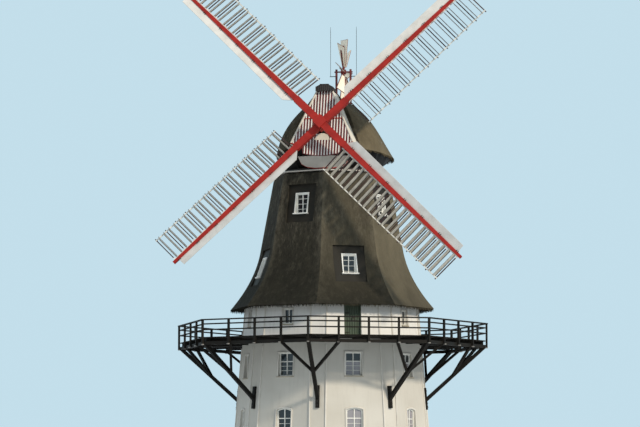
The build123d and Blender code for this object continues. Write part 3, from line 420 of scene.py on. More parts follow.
def reed_thatch(name, tones, dark_foot_full, dark_foot_from, ridge_wear):
    material, tree, shader, place = finish_of(name, 0.95, gloss=reed_gloss)
    comb = patches(tree, place, (62.5, 62.5, 769.2), 5.0, 0.7)
    fine = patches(tree, place, (14.29, 14.29, 111.1), 3.0, 0.7)
    broad = patches(tree, place, (1250, 1250, 2778), 5.0, 0.6)
    moss = patches(tree, place, 909.1, 6.0, 0.65)
    clumps = patches(tree, place, (294.1, 294.1, 666.7), 5.0, 0.75)
    parts = add(tree, "ShaderNodeSeparateXYZ", (place,)).outputs
    tone = toned(tree, comb, 0.3, 0.72, tones["deep"], tones["reed"])
    tone = toned(tree, broad, 0.45, 0.72, tone, tones["brown"], 0.55)
    tone = toned(tree, moss, 0.55, 0.75, tone, tones["moss"], 0.5)
    tone = toned(tree, fine, 0.55, 0.8, tone, tones["worn"], 0.3)
    tone = toned(tree, clumps, 0.53, 0.66, tone, tones["worn"], 0.6)
    tone = toned(tree, clumps, 0.46, 0.34, tone, tones["deep"], 0.7)
    ridges = worn_ridges(tree, parts, clumps, ridge_wear)
    tone = add(tree, "ShaderNodeMix", {0: ridges, 6: tone, 7: tones["worn"]}, data_type="RGBA")
    # Darker towards the foot of each slope, fully so at the lower level.
    tone = toned(tree, parts["Z"], dark_foot_from, dark_foot_full, tone, tones["deep"], 0.7)
    # Painted light: the reed is lighter on the faces that look towards the sun.
    sunlit_share = painted_sunlight(tree, parts, broad)
    tone = add(tree, "ShaderNodeMix", {0: sunlit_share, 6: tone, 7: tones["painted_sunlit"]}, data_type="RGBA")
    ends = add(tree, "ShaderNodeMath", (fine, 0.45), operation="MULTIPLY")
    relief = add(tree, "ShaderNodeMath", (comb, ends), operation="ADD")
    close_finish(tree, shader, tone, relief, 0.05, 0.9)
    return material


thatch_wall = reed_thatch("reed_thatch_smock", {
    "deep": "201f19", "reed": "46423a", "brown": "504b3e",
    "moss": "383a2b", "worn": "656053", "painted_sunlit": "756d5a"}, 12.4, 16.2, 0.75)
thatch_cap = reed_thatch("reed_thatch_cap", {
    "deep": "24211a", "reed": "4a4334", "brown": "5c5340",
    "moss": "3b3c29", "worn": "6f6856", "painted_sunlit": "7c7059"}, 18.6, 19.6, 0.0)
print("thatch", thatch_wall.name, thatch_cap.name)

# %% [markdown]
# ## Window glass
# Seen from outside by day, old drawn glass is a dark, slightly wavy mirror, because the rooms behind
# it are dim. It could be real glass before modelled rooms, but a dark glossy coat looks the same
# from here and renders faster. The lower panes on the sunny side are painted pale, so there the coat
# is mixed with a pale streaked tone.

# %% Window glass
pale_panes_side = (0.6, 0.8)
pale_panes_top = (7.62, 7.72)


def dark_glass():
    material, tree, shader, place = finish_of("window_glass", 0.07, gloss=0.6)
    tint = patches(tree, place, 1111, 2.0)
    pale_streaks = patches(tree, place, (71.43, 71.43, 1000), 2.0)
    parts = add(tree, "ShaderNodeSeparateXYZ", (place,)).outputs
    sunny = add(tree, "ShaderNodeMapRange", (parts["X"], *pale_panes_side))
    low = add(tree, "ShaderNodeMapRange", (parts["Z"], *pale_panes_top, 0.85, 0.0))
    # The lower panes on the sunny side are painted pale.
    pale_share = add(tree, "ShaderNodeMath", (sunny, low), operation="MULTIPLY")
    panes = add(tree, "ShaderNodeMix", {0: tint, 6: "14191c", 7: "2b3236"}, data_type="RGBA")
    pale_tone = add(tree, "ShaderNodeMix", {0: pale_streaks, 6: "8f8c92", 7: "a9a6aa"}, data_type="RGBA")
    tone = add(tree, "ShaderNodeMix", {0: pale_share, 6: panes, 7: pale_tone}, data_type="RGBA")
    close_finish(tree, shader, tone, patches(tree, place, 333.3, 1.0), 0.003, 0.4)
    return material


glass_dark = dark_glass()
print("glass", glass_dark.name)

# %% [markdown]
# ## Boards laid side by side
# The rear gable is closed by bare upright boards, and the deck's boards run round the tower.
# Both aged board by board. Every board could be its own solid, but a dark joint and a tone of
# its own are all that shows: the distance across the boards, divided by their width, counts
# them, its fraction finds the joint, and a white noise gives each number its tone.

# %% Boards laid side by side
gable_board_width, deck_board_width = 0.19, 0.16
# The gable's boards are counted from a line far to the left, so that no number is negative.
far_left = 20.0
deck_top_from, deck_top_full = 0.5, 0.6


def board_rows(tree, distance, width, joint_share):
    """Where the joints lie across a row of boards, and a number from 0 to 1 for each board."""
    count = add(tree, "ShaderNodeMath", (distance, width), operation="DIVIDE")
    across = add(tree, "ShaderNodeMath", (count,), operation="FRACT")
    gap = add(tree, "ShaderNodeMapRange", (across, 0.0, joint_share, 1.0, 0.0))
    whole = add(tree, "ShaderNodeMath", (count,), operation="FLOOR")
    return gap, add(tree, "ShaderNodeTexWhiteNoise", {"W": whole}, noise_dimensions="1D")


def board_tone(tree, number, grain, tones):
    """Each board's own tone, varied along its grain."""
    both = add(tree, "ShaderNodeMath", (number, grain), operation="ADD")
    half = add(tree, "ShaderNodeMath", (both, 0.5), operation="MULTIPLY")
    return add(tree, "ShaderNodeMix", {0: half, 6: tones[0], 7: tones[1]}, data_type="RGBA")


def upright_boarding():
    """Bare softwood that greyed: brown grey boards with dark joints."""
    material, tree, shader, place = finish_of("rear_gable_boarding", 0.85, gloss=0.15)
    across = add(tree, "ShaderNodeSeparateXYZ", (place,)).outputs["X"]
    distance = add(tree, "ShaderNodeMath", (across, far_left), operation="ADD")
    gap, number = board_rows(tree, distance, gable_board_width, 0.1)
    grain = patches(tree, place, (41.67, 41.67, 625), 4.0, 0.65)
    boards = board_tone(tree, number, grain, ("3b342b", "5c5346"))
    tone = add(tree, "ShaderNodeMix", {0: gap, 6: boards, 7: "15120f"}, data_type="RGBA")
    swell = add(tree, "ShaderNodeMath", (grain, 0.4), operation="MULTIPLY")
    relief = add(tree, "ShaderNodeMath", (swell, gap), operation="SUBTRACT")
    close_finish(tree, shader, tone, relief, 0.006, 0.8)
    return material


def decking():
    """Tarred deck timber whose walked tops weathered to grey, while edges stayed black."""
    material, tree, shader, place = finish_of("deck_timber", 0.85, gloss=0.1)
    parts = add(tree, "ShaderNodeSeparateXYZ", (place,)).outputs
    flat = add(tree, "ShaderNodeCombineXYZ", (parts["X"], parts["Y"]))
    radius = add(tree, "ShaderNodeVectorMath", (flat,), operation="LENGTH")
    turned = add(tree, "ShaderNodeMath", (off_side_middle(tree, parts),), operation="COSINE")
    distance = add(tree, "ShaderNodeMath", (radius, turned), operation="MULTIPLY")
    gap, number = board_rows(tree, distance, deck_board_width, 0.09)
    grain = patches(tree, place, 142.9, 5.0, 0.65)
    boards = board_tone(tree, number, grain, ("55504a", "8a847a"))
    top = add(tree, "ShaderNodeMix", {0: gap, 6: boards, 7: "16130f"}, data_type="RGBA")
    side = add(tree, "ShaderNodeMix", {0: grain, 6: "1a1815", 7: "25221e"}, data_type="RGBA")
    normal = add(tree, "ShaderNodeNewGeometry").outputs["True Normal"]
    up = add(tree, "ShaderNodeSeparateXYZ", (normal,)).outputs["Z"]
    tone = toned(tree, up, deck_top_from, deck_top_full, side, top)
    relief = add(tree, "ShaderNodeMath", (grain, gap), operation="SUBTRACT")
    close_finish(tree, shader, tone, relief, 0.004, 0.6)
    return material


deck_boards = decking()
gable_boarding = upright_boarding()
print("boards", gable_board_width, "and", deck_board_width, "metres wide")

# %% [markdown]
# ## Wrought iron
# Shaft, rods, hinges and bolts are wrought iron under old black paint. It gleams a little,
# since the paint is thin, and rust comes through in patches a hand wide. A clean metal shader
# would look machined, so it is half metal and half coat, with one noise for the rust.

# %% Wrought iron


def painted_iron(name, paint, rust):
    material, tree, shader, place = finish_of(name, 0.5, 0.6)
    patch = patches(tree, place, 166.7, 5.0)
    tone = toned(tree, patch, 0.45, 0.75, paint, rust)
    close_finish(tree, shader, tone, patch, 0.002, 0.4)
    return material


dark_iron = painted_iron("dark_iron", "2a2927", "41332a")
print("iron", dark_iron.name)

# %% [markdown]
# ## Paint of the sails
# A sail is a lattice of dark bars with two pale laths along it. Bars and laths are one solid,
# so two materials would need its faces sorted. The paint asks instead how far a point lies
# from the stock, which tells a lath from a bar, and each sail has its own direction for that.
# The shutters between the bars are pale on both faces and dark on their edges. There the
# face's direction from the hub decides, and it also finds the side that the weather greys.

# %% Paint of the lattices
shaft_tilt = radians(12)
shaft_along = (0, -cos(shaft_tilt), sin(shaft_tilt))
hub_place = Vector((0, -4.35, 21.2))
inner_lath_edge = 0.232
outer_lath_reach = 1.75
lath_half = 0.032
paint_line = 0.002
sail_turns = {1: 135, 2: 45, 3: 315, 4: 225}


def lattice_paint(name, turn):
    """Dark bars and pale laths of one sail, told apart by the distance from its stock."""
    material, tree, shader, place = finish_of(name, 0.65)
    across = Vector((sin(turn), cos(turn) * -shaft_along[2], cos(turn) * shaft_along[1]))
    from_origin = add(tree, "ShaderNodeVectorMath", (place, across), operation="DOT_PRODUCT")
    reach = add(tree, "ShaderNodeMath", (from_origin, across.dot(hub_place)), operation="SUBTRACT")
    off_lath = add(tree, "ShaderNodeMath", (reach, outer_lath_reach), operation="SUBTRACT")
    middle = add(tree, "ShaderNodeMath", (off_lath,), operation="ABSOLUTE")
    inner = add(tree, "ShaderNodeMapRange", (
        reach, inner_lath_edge, inner_lath_edge + paint_line, 1.0, 0.0))
    outer = add(tree, "ShaderNodeMapRange", (middle, lath_half, lath_half + paint_line, 1.0, 0.0))
    pale = add(tree, "ShaderNodeMath", (inner, outer), operation="MAXIMUM")
    patch = patches(tree, place, 200, 4.0)
    bars = toned(tree, patch, 0.35, 0.7, "2a1512", "43211c")
    laths = toned(tree, patch, 0.35, 0.7, "e4e2da", "c4c2ba")
    tone = add(tree, "ShaderNodeMix", {0: pale, 6: bars, 7: laths}, data_type="RGBA")
    close_finish(tree, shader, tone, patches(tree, place, 33.33), 0.002, 0.5)
    return material


lattices = {number: lattice_paint(f"lattice_paint_{number}", radians(turn))
            for number, turn in sail_turns.items()}
print("lattice paints", len(lattices))

# %% Paint of the shutters


def shutter_coat():
    """Chalky cream faces, greyer on the side that meets the weather, and dark red edges."""
    material, tree, shader, place = finish_of("sail_shutter_paint", 0.6)
    normal = add(tree, "ShaderNodeTexCoord").outputs["Normal"]
    from_hub = add(tree, "ShaderNodeVectorMath", (place, hub_place), operation="SUBTRACT")
    away = add(tree, "ShaderNodeVectorMath", (from_hub,), operation="NORMALIZE")
    facing = add(tree, "ShaderNodeVectorMath", (away, normal), operation="DOT_PRODUCT")
    either_way = add(tree, "ShaderNodeMath", (facing,), operation="ABSOLUTE")
    patch = patches(tree, place, 400, 4.0)
    streak = patches(tree, place, grain_even)
    fresh = toned(tree, patch, 0.35, 0.7, "e2dccd", "c3bcab")
    greyed = toned(tree, patch, 0.35, 0.7, "cdc9bf", "aeaa9f")
    pale = toned(tree, facing, 0.5, 0.52, fresh, greyed)
    edge = toned(tree, streak, 0.35, 0.7, "3a2320", "541f1c")
    tone = toned(tree, either_way, 0.6, 0.62, edge, pale)
    close_finish(tree, shader, tone, streak, 0.003, 0.5)
    return material


shutter_paint = shutter_coat()
print("materials", len(bpy.data.materials))

# %% [markdown]
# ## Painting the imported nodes
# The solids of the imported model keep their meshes, and only their material slots change. One
# table says which finish each node wears, so a finish is easy to find and to swap.

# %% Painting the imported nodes
finishes = {
    brick_white: ["base_walls_odd", "base_walls_even"],
    thatch_wall: ["smock_thatch_odd", "smock_thatch_even"],
    thatch_cap: ["cap_thatch"],
    frame_white: ["window_frames", "smock_window_casings", "smock_window_sashes"],
    glass_dark: ["window_glass", "smock_window_glass"],
    door_green: ["doors", "door_frames"],
    sill_stone: ["window_sills"],
    tarred: ["railing_posts", "railing_rails", "strut_wall_posts", "gallery_struts",
             "gallery_side_braces", "gallery_joists", "gallery_ring_beams"],
    deck_boards: ["gallery_deck"],
    # The cap's underside is tar painted near black: partly its tar, partly painted shade.
    underside_painted_shade: ["cap_soffit"],
    gable_boarding: ["rear_gable"],
    recess_board: ["smock_window_panels"],
    plain_boards: ["storey_floors"],
    old_oak: ["smock_posts", "curb_ring", "cap_sheers", "shaft_beams", "neck_posts",
              "shaft_bearings"],
    pale_grey: ["curb_cover", "chin"],
    cream: ["gable_cheeks", "cheek_gussets", "neck_panel"],
    board_white: ["leading_boards"],
    fan_boards_painted_light: ["fan_boards"],
    shutter_paint: ["sail_shutters"],
    dark_red: ["gable_boards"],
    hood_dark: ["hood"],
    red_paint: ["stocks", "poll_end"],
    fan_red: ["fan_posts", "fan_hub", "fan_rakers", "fan_girts"],
    dark_iron: ["turning_ring", "windshaft", "lightning_rods"],
}
for number, material in lattices.items():
    finishes[material] = [f"sail_lattice_{number}"]

for material, nodes in finishes.items():
    for node in nodes:
        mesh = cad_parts[node].data
        mesh.materials.clear()
        mesh.materials.append(material)

print("painted", sum(len(nodes) for nodes in finishes.values()), "nodes")

# %% [markdown]
# ## A tree for bars along lines
# Battens, glazing bars, trims, beads, planks and bolts are all squared bars, and a mill has
# hundreds. Each could be modelled as a box, but it is enough to draw lines, as the edges of a
# mesh: a Geometry Nodes tree turns them into curves and sweeps a rectangle along each. Its
# width lies level, across the line, and its depth square to that.

# %% Tree for bars along lines


def group_of(name, sizes):
    """A node group that takes lines, named sizes and a material, and returns a shape."""
    tree = bpy.data.node_groups.new(name, "GeometryNodeTree")
    sockets = tree.interface
    sockets.new_socket("Lines", in_out="INPUT", socket_type="NodeSocketGeometry")
    for label, value in sizes.items():
        socket = sockets.new_socket(label, in_out="INPUT", socket_type="NodeSocketFloat")
        socket.default_value = value
    sockets.new_socket("Material", in_out="INPUT", socket_type="NodeSocketMaterial")
    sockets.new_socket("Shape", in_out="OUTPUT", socket_type="NodeSocketGeometry")
    return tree, tree.nodes.new("NodeGroupInput").outputs


def close_group(tree, given, shape):
    """Ends a tree in Realize Instances and Set Material."""
    real = add(tree, "GeometryNodeRealizeInstances", {"Geometry": shape})
    painted = add(tree, "GeometryNodeSetMaterial", {"Geometry": real, "Material": given["Material"]})
    end = tree.nodes.new("NodeGroupOutput")
    feed(tree, end.inputs["Shape"], painted)


def bars_tree():
    tree, given = group_of("bars_along_lines", {"Width": 0.05, "Depth": 0.03})
    curve = add(tree, "GeometryNodeMeshToCurve", {"Mesh": given["Lines"]})
    level = add(tree, "GeometryNodeSetCurveNormal", {"Curve": curve}, mode="Z_UP")
    section = add(tree, "GeometryNodeCurvePrimitiveQuadrilateral", {
        "Width": given["Width"], "Height": given["Depth"]}, mode="RECTANGLE")
    swept = add(tree, "GeometryNodeCurveToMesh", {
        "Curve": level, "Profile Curve": section, "Fill Caps": True})
    close_group(tree, given, swept)
    return tree


along_lines = bars_tree()
print("tree", along_lines.name, "with", len(along_lines.nodes), "nodes")

# %% [markdown]
# ## A tree for reed ends
# The cut edge of thatch is a row of reed ends, no two alike. A few hundred cones placed by
# hand would look planted, so a second tree sets one at every step along a line, leaning and
# sized at random. Its seed is fixed, so the row is the same each time.

# %% Tree for reed ends
tuft_corners, tuft_tip = 5, 0.004
tuft_lean, tuft_spin, tuft_size = 0.35, 6.28, (0.6, 1.25)


def tufts_tree():
    tree, given = group_of("reed_tufts", {
        "Spacing": 0.05, "Length": 0.2, "Radius": 0.02, "Seed": 7.0})
    curve = add(tree, "GeometryNodeMeshToCurve", {"Mesh": given["Lines"]})
    points = add(tree, "GeometryNodeCurveToPoints", {
        "Curve": curve, "Length": given["Spacing"]}, mode="LENGTH")
    cone = add(tree, "GeometryNodeMeshCone", {
        "Vertices": tuft_corners, "Radius Top": tuft_tip, "Radius Bottom": given["Radius"],
        "Depth": given["Length"]})
    lean = add(tree, "FunctionNodeRandomValue", {
        0: (-tuft_lean, -tuft_lean, 0.0), 1: (tuft_lean, tuft_lean, tuft_spin),
        "Seed": given["Seed"]}, data_type="FLOAT_VECTOR")
    size = add(tree, "FunctionNodeRandomValue", {
        2: tuft_size[0], 3: tuft_size[1], "Seed": given["Seed"]}, data_type="FLOAT")
    hanging = add(tree, "ShaderNodeVectorMath", (lean, (pi, 0, 0)), operation="ADD")
    placed = add(tree, "GeometryNodeInstanceOnPoints", {
        "Points": points, "Instance": cone, "Rotation": hanging, "Scale": size})
    close_group(tree, given, placed)
    return tree


tufts = tufts_tree()
print("tree", tufts.name, "with", len(tufts.nodes), "nodes")

# %% [markdown]
# ## From a tree to a piece
# A modifier that is left on a piece would be worked out again in every render. So the lines
# are grown once on a helper object, the result becomes a plain mesh, and the helper goes. The
# sizes are handed over by each socket's identifier. A piece is then an object at the origin,
# with its place in its mesh, that rides on one of the mill's bodies.

# %% From a tree to a piece


def line_mesh(lines):
    """Loose edges; each line is a list of two or more points."""
    points = []
    edges = []
    for line in lines:
        first = len(points)
        points += [Vector(point).to_3d() for point in line]
        edges += [(i, i + 1) for i in range(first, len(points) - 1)]
    mesh = bpy.data.meshes.new("lines")
    mesh.from_pydata(points, edges, [])
    return mesh


def grown(tree, lines, material, **sizes):
    """Runs a tree on lines and returns the plain mesh it makes."""
    maker = bpy.data.objects.new("maker", line_mesh(lines))
    bpy.context.scene.collection.objects.link(maker)
    modifier = maker.modifiers.new("grow", "NODES")
    modifier.node_group = tree
    values = {**sizes, "Material": material}
    for item in tree.interface.items_tree:
        if item.in_out == "INPUT" and item.name in values:
            modifier[item.identifier] = values[item.name]
    held = maker.evaluated_get(bpy.context.evaluated_depsgraph_get())
    mesh = bpy.data.meshes.new_from_object(held)
    maker.modifiers.remove(modifier)
    bpy.data.objects.remove(maker)
    return mesh


def piece_from(mesh, name, body, material=None):
    """Makes an object of a mesh, gives it a material and lets it ride on a body."""
    mesh.name = name
    piece = bpy.data.objects.new(name, mesh)
    bpy.context.scene.collection.objects.link(piece)
    if material:
        mesh.materials.append(material)
    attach(piece, body)


trial = grown(along_lines, [((0, 0), (1, 0))], frame_white, Width=0.2, Depth=0.1)
spans = [max(v.co[i] for v in trial.vertices) - min(v.co[i] for v in trial.vertices)
         for i in range(3)]
bpy.data.meshes.remove(trial)
print("a trial bar spans", [round(span, 3) for span in spans])

# %% [markdown]
# ## The striped gable
# Behind the sails the cap is closed by a leaning wall of wine-red boards. White battens cover
# every joint, so from the ground it reads as a striped cloth. Stripes could be painted on, but
# real battens throw real shadows. They are drawn in the gable's own plane, each as long as the
# slanted outline lets it be, cut round the shaft and the pale half-round board under it.

# %% Outline of the gable
gable_lean = radians(20)
gable_foot = (-3.75, 20.10)
gable_board = 0.05
gable_edge = ((1.82, 20.10), (0.47, 23.25))
bib_edge = ((1.08, 19.50), (1.15, 19.90))
bib_middle = 19.35
foot_clear = 0.02


def up_gable(level):
    """Height measured up the leaning gable from its foot."""
    return (level - gable_foot[1]) / cos(gable_lean)


def gable_low(x):
    """Lower end of a batten: on the scalloped bib in the middle, on the foot outside it."""
    (bib_half, bib_low), (step_half, step_low) = bib_edge
    wide, foot = gable_edge[0]
    if abs(x) < bib_half:
        return bib_middle + (bib_low - bib_middle) * (x / bib_half) ** 2 + foot_clear
    share = (abs(x) - step_half) / (wide - step_half)
    return step_low + (foot - step_low) * max(share, 0.0) + foot_clear


def gable_high(x):
    """Upper end of a batten: on the flat top in the middle, on the slanted edge outside it."""
    (wide, foot), (narrow, top) = gable_edge
    if abs(x) < narrow:
        return top
    return foot + (wide - abs(x)) / (wide - narrow) * (top - foot)


def axes(origin, x_dir, y_dir, z_dir):
    """Matrix that carries a piece drawn at the origin to a place with these axes."""
    columns = [Vector(x_dir), Vector(y_dir), Vector(z_dir), Vector(origin)]
    rows = [[column[i] for column in columns] for i in range(3)]
    return Matrix(rows + [[0, 0, 0, 1]])


def gable_place(rise):
    """Matrix of the gable's plane, at a distance in front of its foot line."""
    c, s = cos(gable_lean), sin(gable_lean)
    out = Vector((0, -c, s))
    origin = Vector((0, *gable_foot)) + out * rise
    return axes(origin, (1, 0, 0), (0, s, c), out)


print("gable", round(gable_high(0) - gable_low(0), 2), "metres high in the middle")

# %% Gable battens
batten_pitch, battens_each_side = 0.165, 11
batten_width, batten_depth, batten_shortest = 0.064, 0.028, 0.08
verge_from, verge_clear = 0.4, 0.1
shaft_clear, shaft_level_here = 0.47, 21.02
panel_low, panel_half = 20.30, 0.43


def batten_spans(x):
    """Stretches of one batten, from low to high, left by the shaft and the half-round board."""
    low, high = gable_low(x), gable_high(x)
    if abs(x) > verge_from:
        high -= verge_clear
    spans = [(low, high)]
    if abs(x) < shaft_clear:
        half = sqrt(shaft_clear ** 2 - x ** 2)
        spans = [(low, shaft_level_here - half), (shaft_level_here + half, high)]
    if abs(x) < panel_half:
        panel_top = panel_low + sqrt(panel_half ** 2 - x ** 2)
        spans = [(low, panel_low), (panel_top, spans[0][1])] + spans[1:]
    return [(start, end) for start, end in spans if end - start > batten_shortest]


def build_battens():
    lines = []
    for k in range(-battens_each_side, battens_each_side + 1):
        x = k * batten_pitch
        lines += [((x, up_gable(low)), (x, up_gable(high))) for low, high in batten_spans(x)]
    battens = grown(along_lines, lines, frame_white, Width=batten_width, Depth=batten_depth)
    battens.transform(gable_place(gable_board + batten_depth / 2))
    piece_from(battens, "gable_battens", "cap")
    print("battens", len(lines))


build_battens()

# %% [markdown]
# ## Verge trims and red rails
# A pale trim closes each slanted edge of the gable, and short red rails mark its foot and its
# waist. They lie on the same boards as the battens, so they are drawn in the same plane.

# %% Verge trims and red rails
verge_inset, verge_width, verge_depth = 0.03, 0.11, 0.045
foot_rail = ((1.17, 19.93), (1.80, 20.12))
waist_rail = ((0.5, 21.57), (1.08, 21.57))
rail_thick = 0.05


def build_gable_trims():
    (wide, foot), (narrow, top) = gable_edge
    verge = ((wide - verge_inset, foot), (narrow - verge_inset, top))
    edges = [[(s * x, up_gable(level)) for x, level in verge] for s in (-1, 1)]
    trims = grown(along_lines, edges, cream, Width=verge_width, Depth=verge_depth)
    trims.transform(gable_place(gable_board + verge_depth / 2))
    piece_from(trims, "gable_verge_trims", "cap")
    lines = [[(s * x, up_gable(level)) for x, level in rail]
             for rail in (foot_rail, waist_rail) for s in (-1, 1)]
    rails = grown(along_lines, lines, red_paint, Width=rail_thick, Depth=rail_thick)
    rails.transform(gable_place(gable_board + rail_thick / 2))
    piece_from(rails, "gable_red_rails", "cap")
    print("trims", len(edges), "rails", len(lines))


build_gable_trims()

# %% [markdown]
# ## Hood fillets
# A small dark hood throws rain off the gable's top, and thin fillets cover the joints of its
# boards. They are bars again: upright ones on the front and the flanks, and one flat cap. A
# helper joins several meshes of one finish, because a finish on a body is easier to handle as
# one piece than as thirty.

# %% Hood fillets
hood_low, hood_shoulder_level, hood_top_level = 23.25, 23.49, 23.62
hood_front, hood_back = -2.953, -1.453
hood_half, hood_crown = 0.49, 0.23
fillet_width, fillet_front, fillet_flank = 0.03, 0.024, 0.016
front_pitch, fronts_each_side = 0.115, 4
flank_pitch, flank_count, flank_start = 0.12, 12, 0.07
cap_overhang = 0.03


def merged(meshes):
    """One mesh of several that wear the same material; the several are removed."""
    joined = bmesh.new()
    for mesh in meshes:
        joined.from_mesh(mesh)
    result = bpy.data.meshes.new("piece")
    joined.to_mesh(result)
    joined.free()
    for material in meshes[0].materials:
        result.materials.append(material)
    for mesh in meshes:
        bpy.data.meshes.remove(mesh)
    return result


def hood_outline(x):
    """Level of the hood's front edge: flat over the crown, falling to the shoulders."""
    beyond = max(abs(x) - hood_crown, 0.0) / (hood_half - hood_crown)
    return hood_top_level - beyond * (hood_top_level - hood_shoulder_level)


def build_hood_fillets():
    face = hood_front - fillet_front / 2
    columns = [k * front_pitch for k in range(-fronts_each_side, fronts_each_side + 1)]
    fronts = [((x, face, hood_low), (x, face, hood_outline(x))) for x in columns]
    flank = hood_half + fillet_flank / 2
    rows = [hood_front + flank_start + k * flank_pitch for k in range(flank_count)]
    flanks = [((s * flank, y, hood_low), (s * flank, y, hood_shoulder_level))
              for s in (-1, 1) for y in rows]
    level = hood_top_level + fillet_front / 2
    cap = [((0, hood_front - cap_overhang, level), (0, hood_back, level))]
    cap_width = 2 * (hood_crown + cap_overhang)
    fillets = merged([
        grown(along_lines, fronts, hood_dark, Width=fillet_width, Depth=fillet_front),
        grown(along_lines, flanks, hood_dark, Width=fillet_flank, Depth=fillet_width),
        grown(along_lines, cap, hood_dark, Width=cap_width, Depth=fillet_front)])
    piece_from(fillets, "hood_fillets", "cap")
    print("fillets", len(fronts) + len(flanks))


build_hood_fillets()

# %% [markdown]
# ## The chin's red edge
# Below the gable's bib the boat-shaped chin has a red upper edge, nailed on in short lengths
# that follow its curve. A swept line would turn its section as it climbs, so these lengths are
# built one by one, from a prism between two squares, each running a little into the next.

# %% The chin's red edge
chin_edge = ((0.0, -3.20, 18.76), (0.48, -3.04, 18.76), (0.95, -2.96, 18.842),
             (1.27, -2.98, 19.01), (1.44, -3.10, 19.40))
chin_strip, chin_strip_high, chin_forward, chin_overlap = 0.04, 0.045, 0.02, 0.01
steep = 0.9


def solid(bm, corners_low, corners_high):
    """Adds a prism between two polygons with the same number of corners."""
    low = [bm.verts.new(point) for point in corners_low]
    high = [bm.verts.new(point) for point in corners_high]
    bm.faces.new(low[::-1])
    bm.faces.new(high)
    for i in range(len(low)):
        j = (i + 1) % len(low)
        bm.faces.new((low[i], low[j], high[j], high[i]))


def bar(bm, start, end, width, height, up):
    """Adds a squared bar between two points; width lies across, height along up."""
    run = (end - start).normalized()
    across = run.cross(Vector(up)).normalized() * width / 2
    rise = across.cross(run).normalized() * height / 2
    solid(bm, [start + across * a + rise * b for a, b in square],
          [end + across * a + rise * b for a, b in square])


def mesh_of(bm, bevel=0.0):
    """Ends a bmesh with outward normals, and eased edges where a bevel is given."""
    bmesh.ops.recalc_face_normals(bm, faces=bm.faces)
    if bevel:
        bmesh.ops.bevel(bm, geom=bm.edges[:], offset=bevel, segments=1, affect="EDGES")
    mesh = bpy.data.meshes.new("piece")
    bm.to_mesh(mesh)
    bm.free()
    return mesh


def build_chin_edge():
    bm = bmesh.new()
    for s in (-1, 1):
        points = [Vector((s * x, y - chin_forward, z)) for x, y, z in chin_edge]
        for start, end in zip(points, points[1:]):
            run = (end - start).normalized()
            up = (0, 0, 1) if abs(run.z) < steep else (0, 1, 0)
            bar(bm, start, end + run * chin_overlap, chin_strip, chin_strip_high, up)
    piece_from(mesh_of(bm), "chin_red_edge", "cap", red_paint)
    print("lengths", 2 * (len(chin_edge) - 1))


build_chin_edge()

# %% [markdown]
# ## Windows of the brick base
# Each large window is a pair of casements under a small arch. The model holds the frame, the
# mullion and the transom. The thin bars that divide each light into panes could be cut from
# the glass, but they are quicker to draw flat, on one window, and to copy round the eight
# sides. A matrix for each side carries the drawing to its wall.

# %% Sides and rows of windows
base_ground, base_gallery, gallery_level = 6.07, 5.33, 9.0
half_turn = radians(22.5)
wall_batter = (base_ground - base_gallery) / gallery_level * cos(half_turn)
all_sides = range(1, 9)
window_sides = [2, 3, 4, 6, 7, 8]
Row = namedtuple("Row", "sides sill width height rise transom")
window_rows = (
    Row(window_sides, 0.80, 0.95, 1.45, 0.11, 0.62),
    Row(all_sides, 3.55, 0.95, 1.50, 0.11, 0.62),
    Row(all_sides, 6.85, 0.95, 1.32, 0.0, 0.62),
    Row(window_sides, 9.80, 0.62, 0.86, 0.0, 0.0),
)


def wall_face(level):
    """How far the middle of a wall stands from the tower's axis, at a level."""
    return base_ground * cos(half_turn) - wall_batter * level


def side_place(side, reach=0.0, batter=0.0):
    """Matrix from a side's drawing plane (across, up, out) to the tower."""
    turn = Matrix.Rotation(half_turn * (2 * side - 1), 4, "Z")
    return turn @ axes((0, -reach, 0), (1, 0, 0), (0, batter, 1), (0, -1, 0))


def copies(mesh, places):
    """One mesh holding a copy of a drawn piece at each place."""
    placed = []
    for place in places:
        part = mesh.copy()
        part.transform(place)
        placed.append(part)
    return merged(placed)


print("windows", sum(len(row.sides) for row in window_rows))

# %% Glazing bars
reveal, frame_deep, frame_wide, mullion = 0.13, 0.09, 0.065, 0.05
glass_front = 0.0325
pane_bar = 0.024


def glazing_lines(row):
    """Thin rails between the panes of one window's casements."""
    inner = row.width / 2 - frame_wide
    low, high = row.sill + frame_wide, row.sill + row.height - frame_wide
    levels = [(low + high) / 2]
    if row.transom:
        split = row.sill + row.height * row.transom
        levels = [low + (split - low) * share for share in (1 / 3, 2 / 3)]
    return [((s * mullion / 2, level), (s * inner, level)) for s in (-1, 1) for level in levels]


def build_glazing():
    parts = []
    for row in window_rows:
        bars = grown(along_lines, glazing_lines(row), frame_white, Width=pane_bar, Depth=pane_bar)
        pane_back = wall_face(row.sill + row.height / 2) - reveal - frame_deep
        reach = pane_back + glass_front + pane_bar / 2
        parts.append(copies(bars, [side_place(side, reach) for side in row.sides]))
    mesh = merged(parts)
    piece_from(mesh, "base_glazing_bars", "tower")
    print("glazing faces", len(mesh.polygons))


build_glazing()

# %% [markdown]
# ## Plastered architraves
# A flat band of plaster runs up both sides of each window and over its head, and hides where
# the frame meets the brick. It is one line, swept like the bars. The matrix leans it back with
# the wall, which gets thinner upwards.

# %% Plastered architraves
band_wide, band_deep, band_out = 0.09, 0.05, 0.012
arch_steps = 6


def architrave_lines(row):
    """Sides and head of the plastered band round a window."""
    half = row.width / 2 + band_wide / 2
    top = row.sill + row.height + band_wide / 2
    head = [(half, top), (-half, top)]
    if row.rise:
        shares = [k / arch_steps for k in range(arch_steps)]
        right = [(half * (1 - share), top - row.rise * (1 - share) ** 2) for share in shares]
        head = right + [(0, top)] + [(-x, y) for x, y in reversed(right)]
    return [[(half, row.sill)] + head + [(-half, row.sill)]]


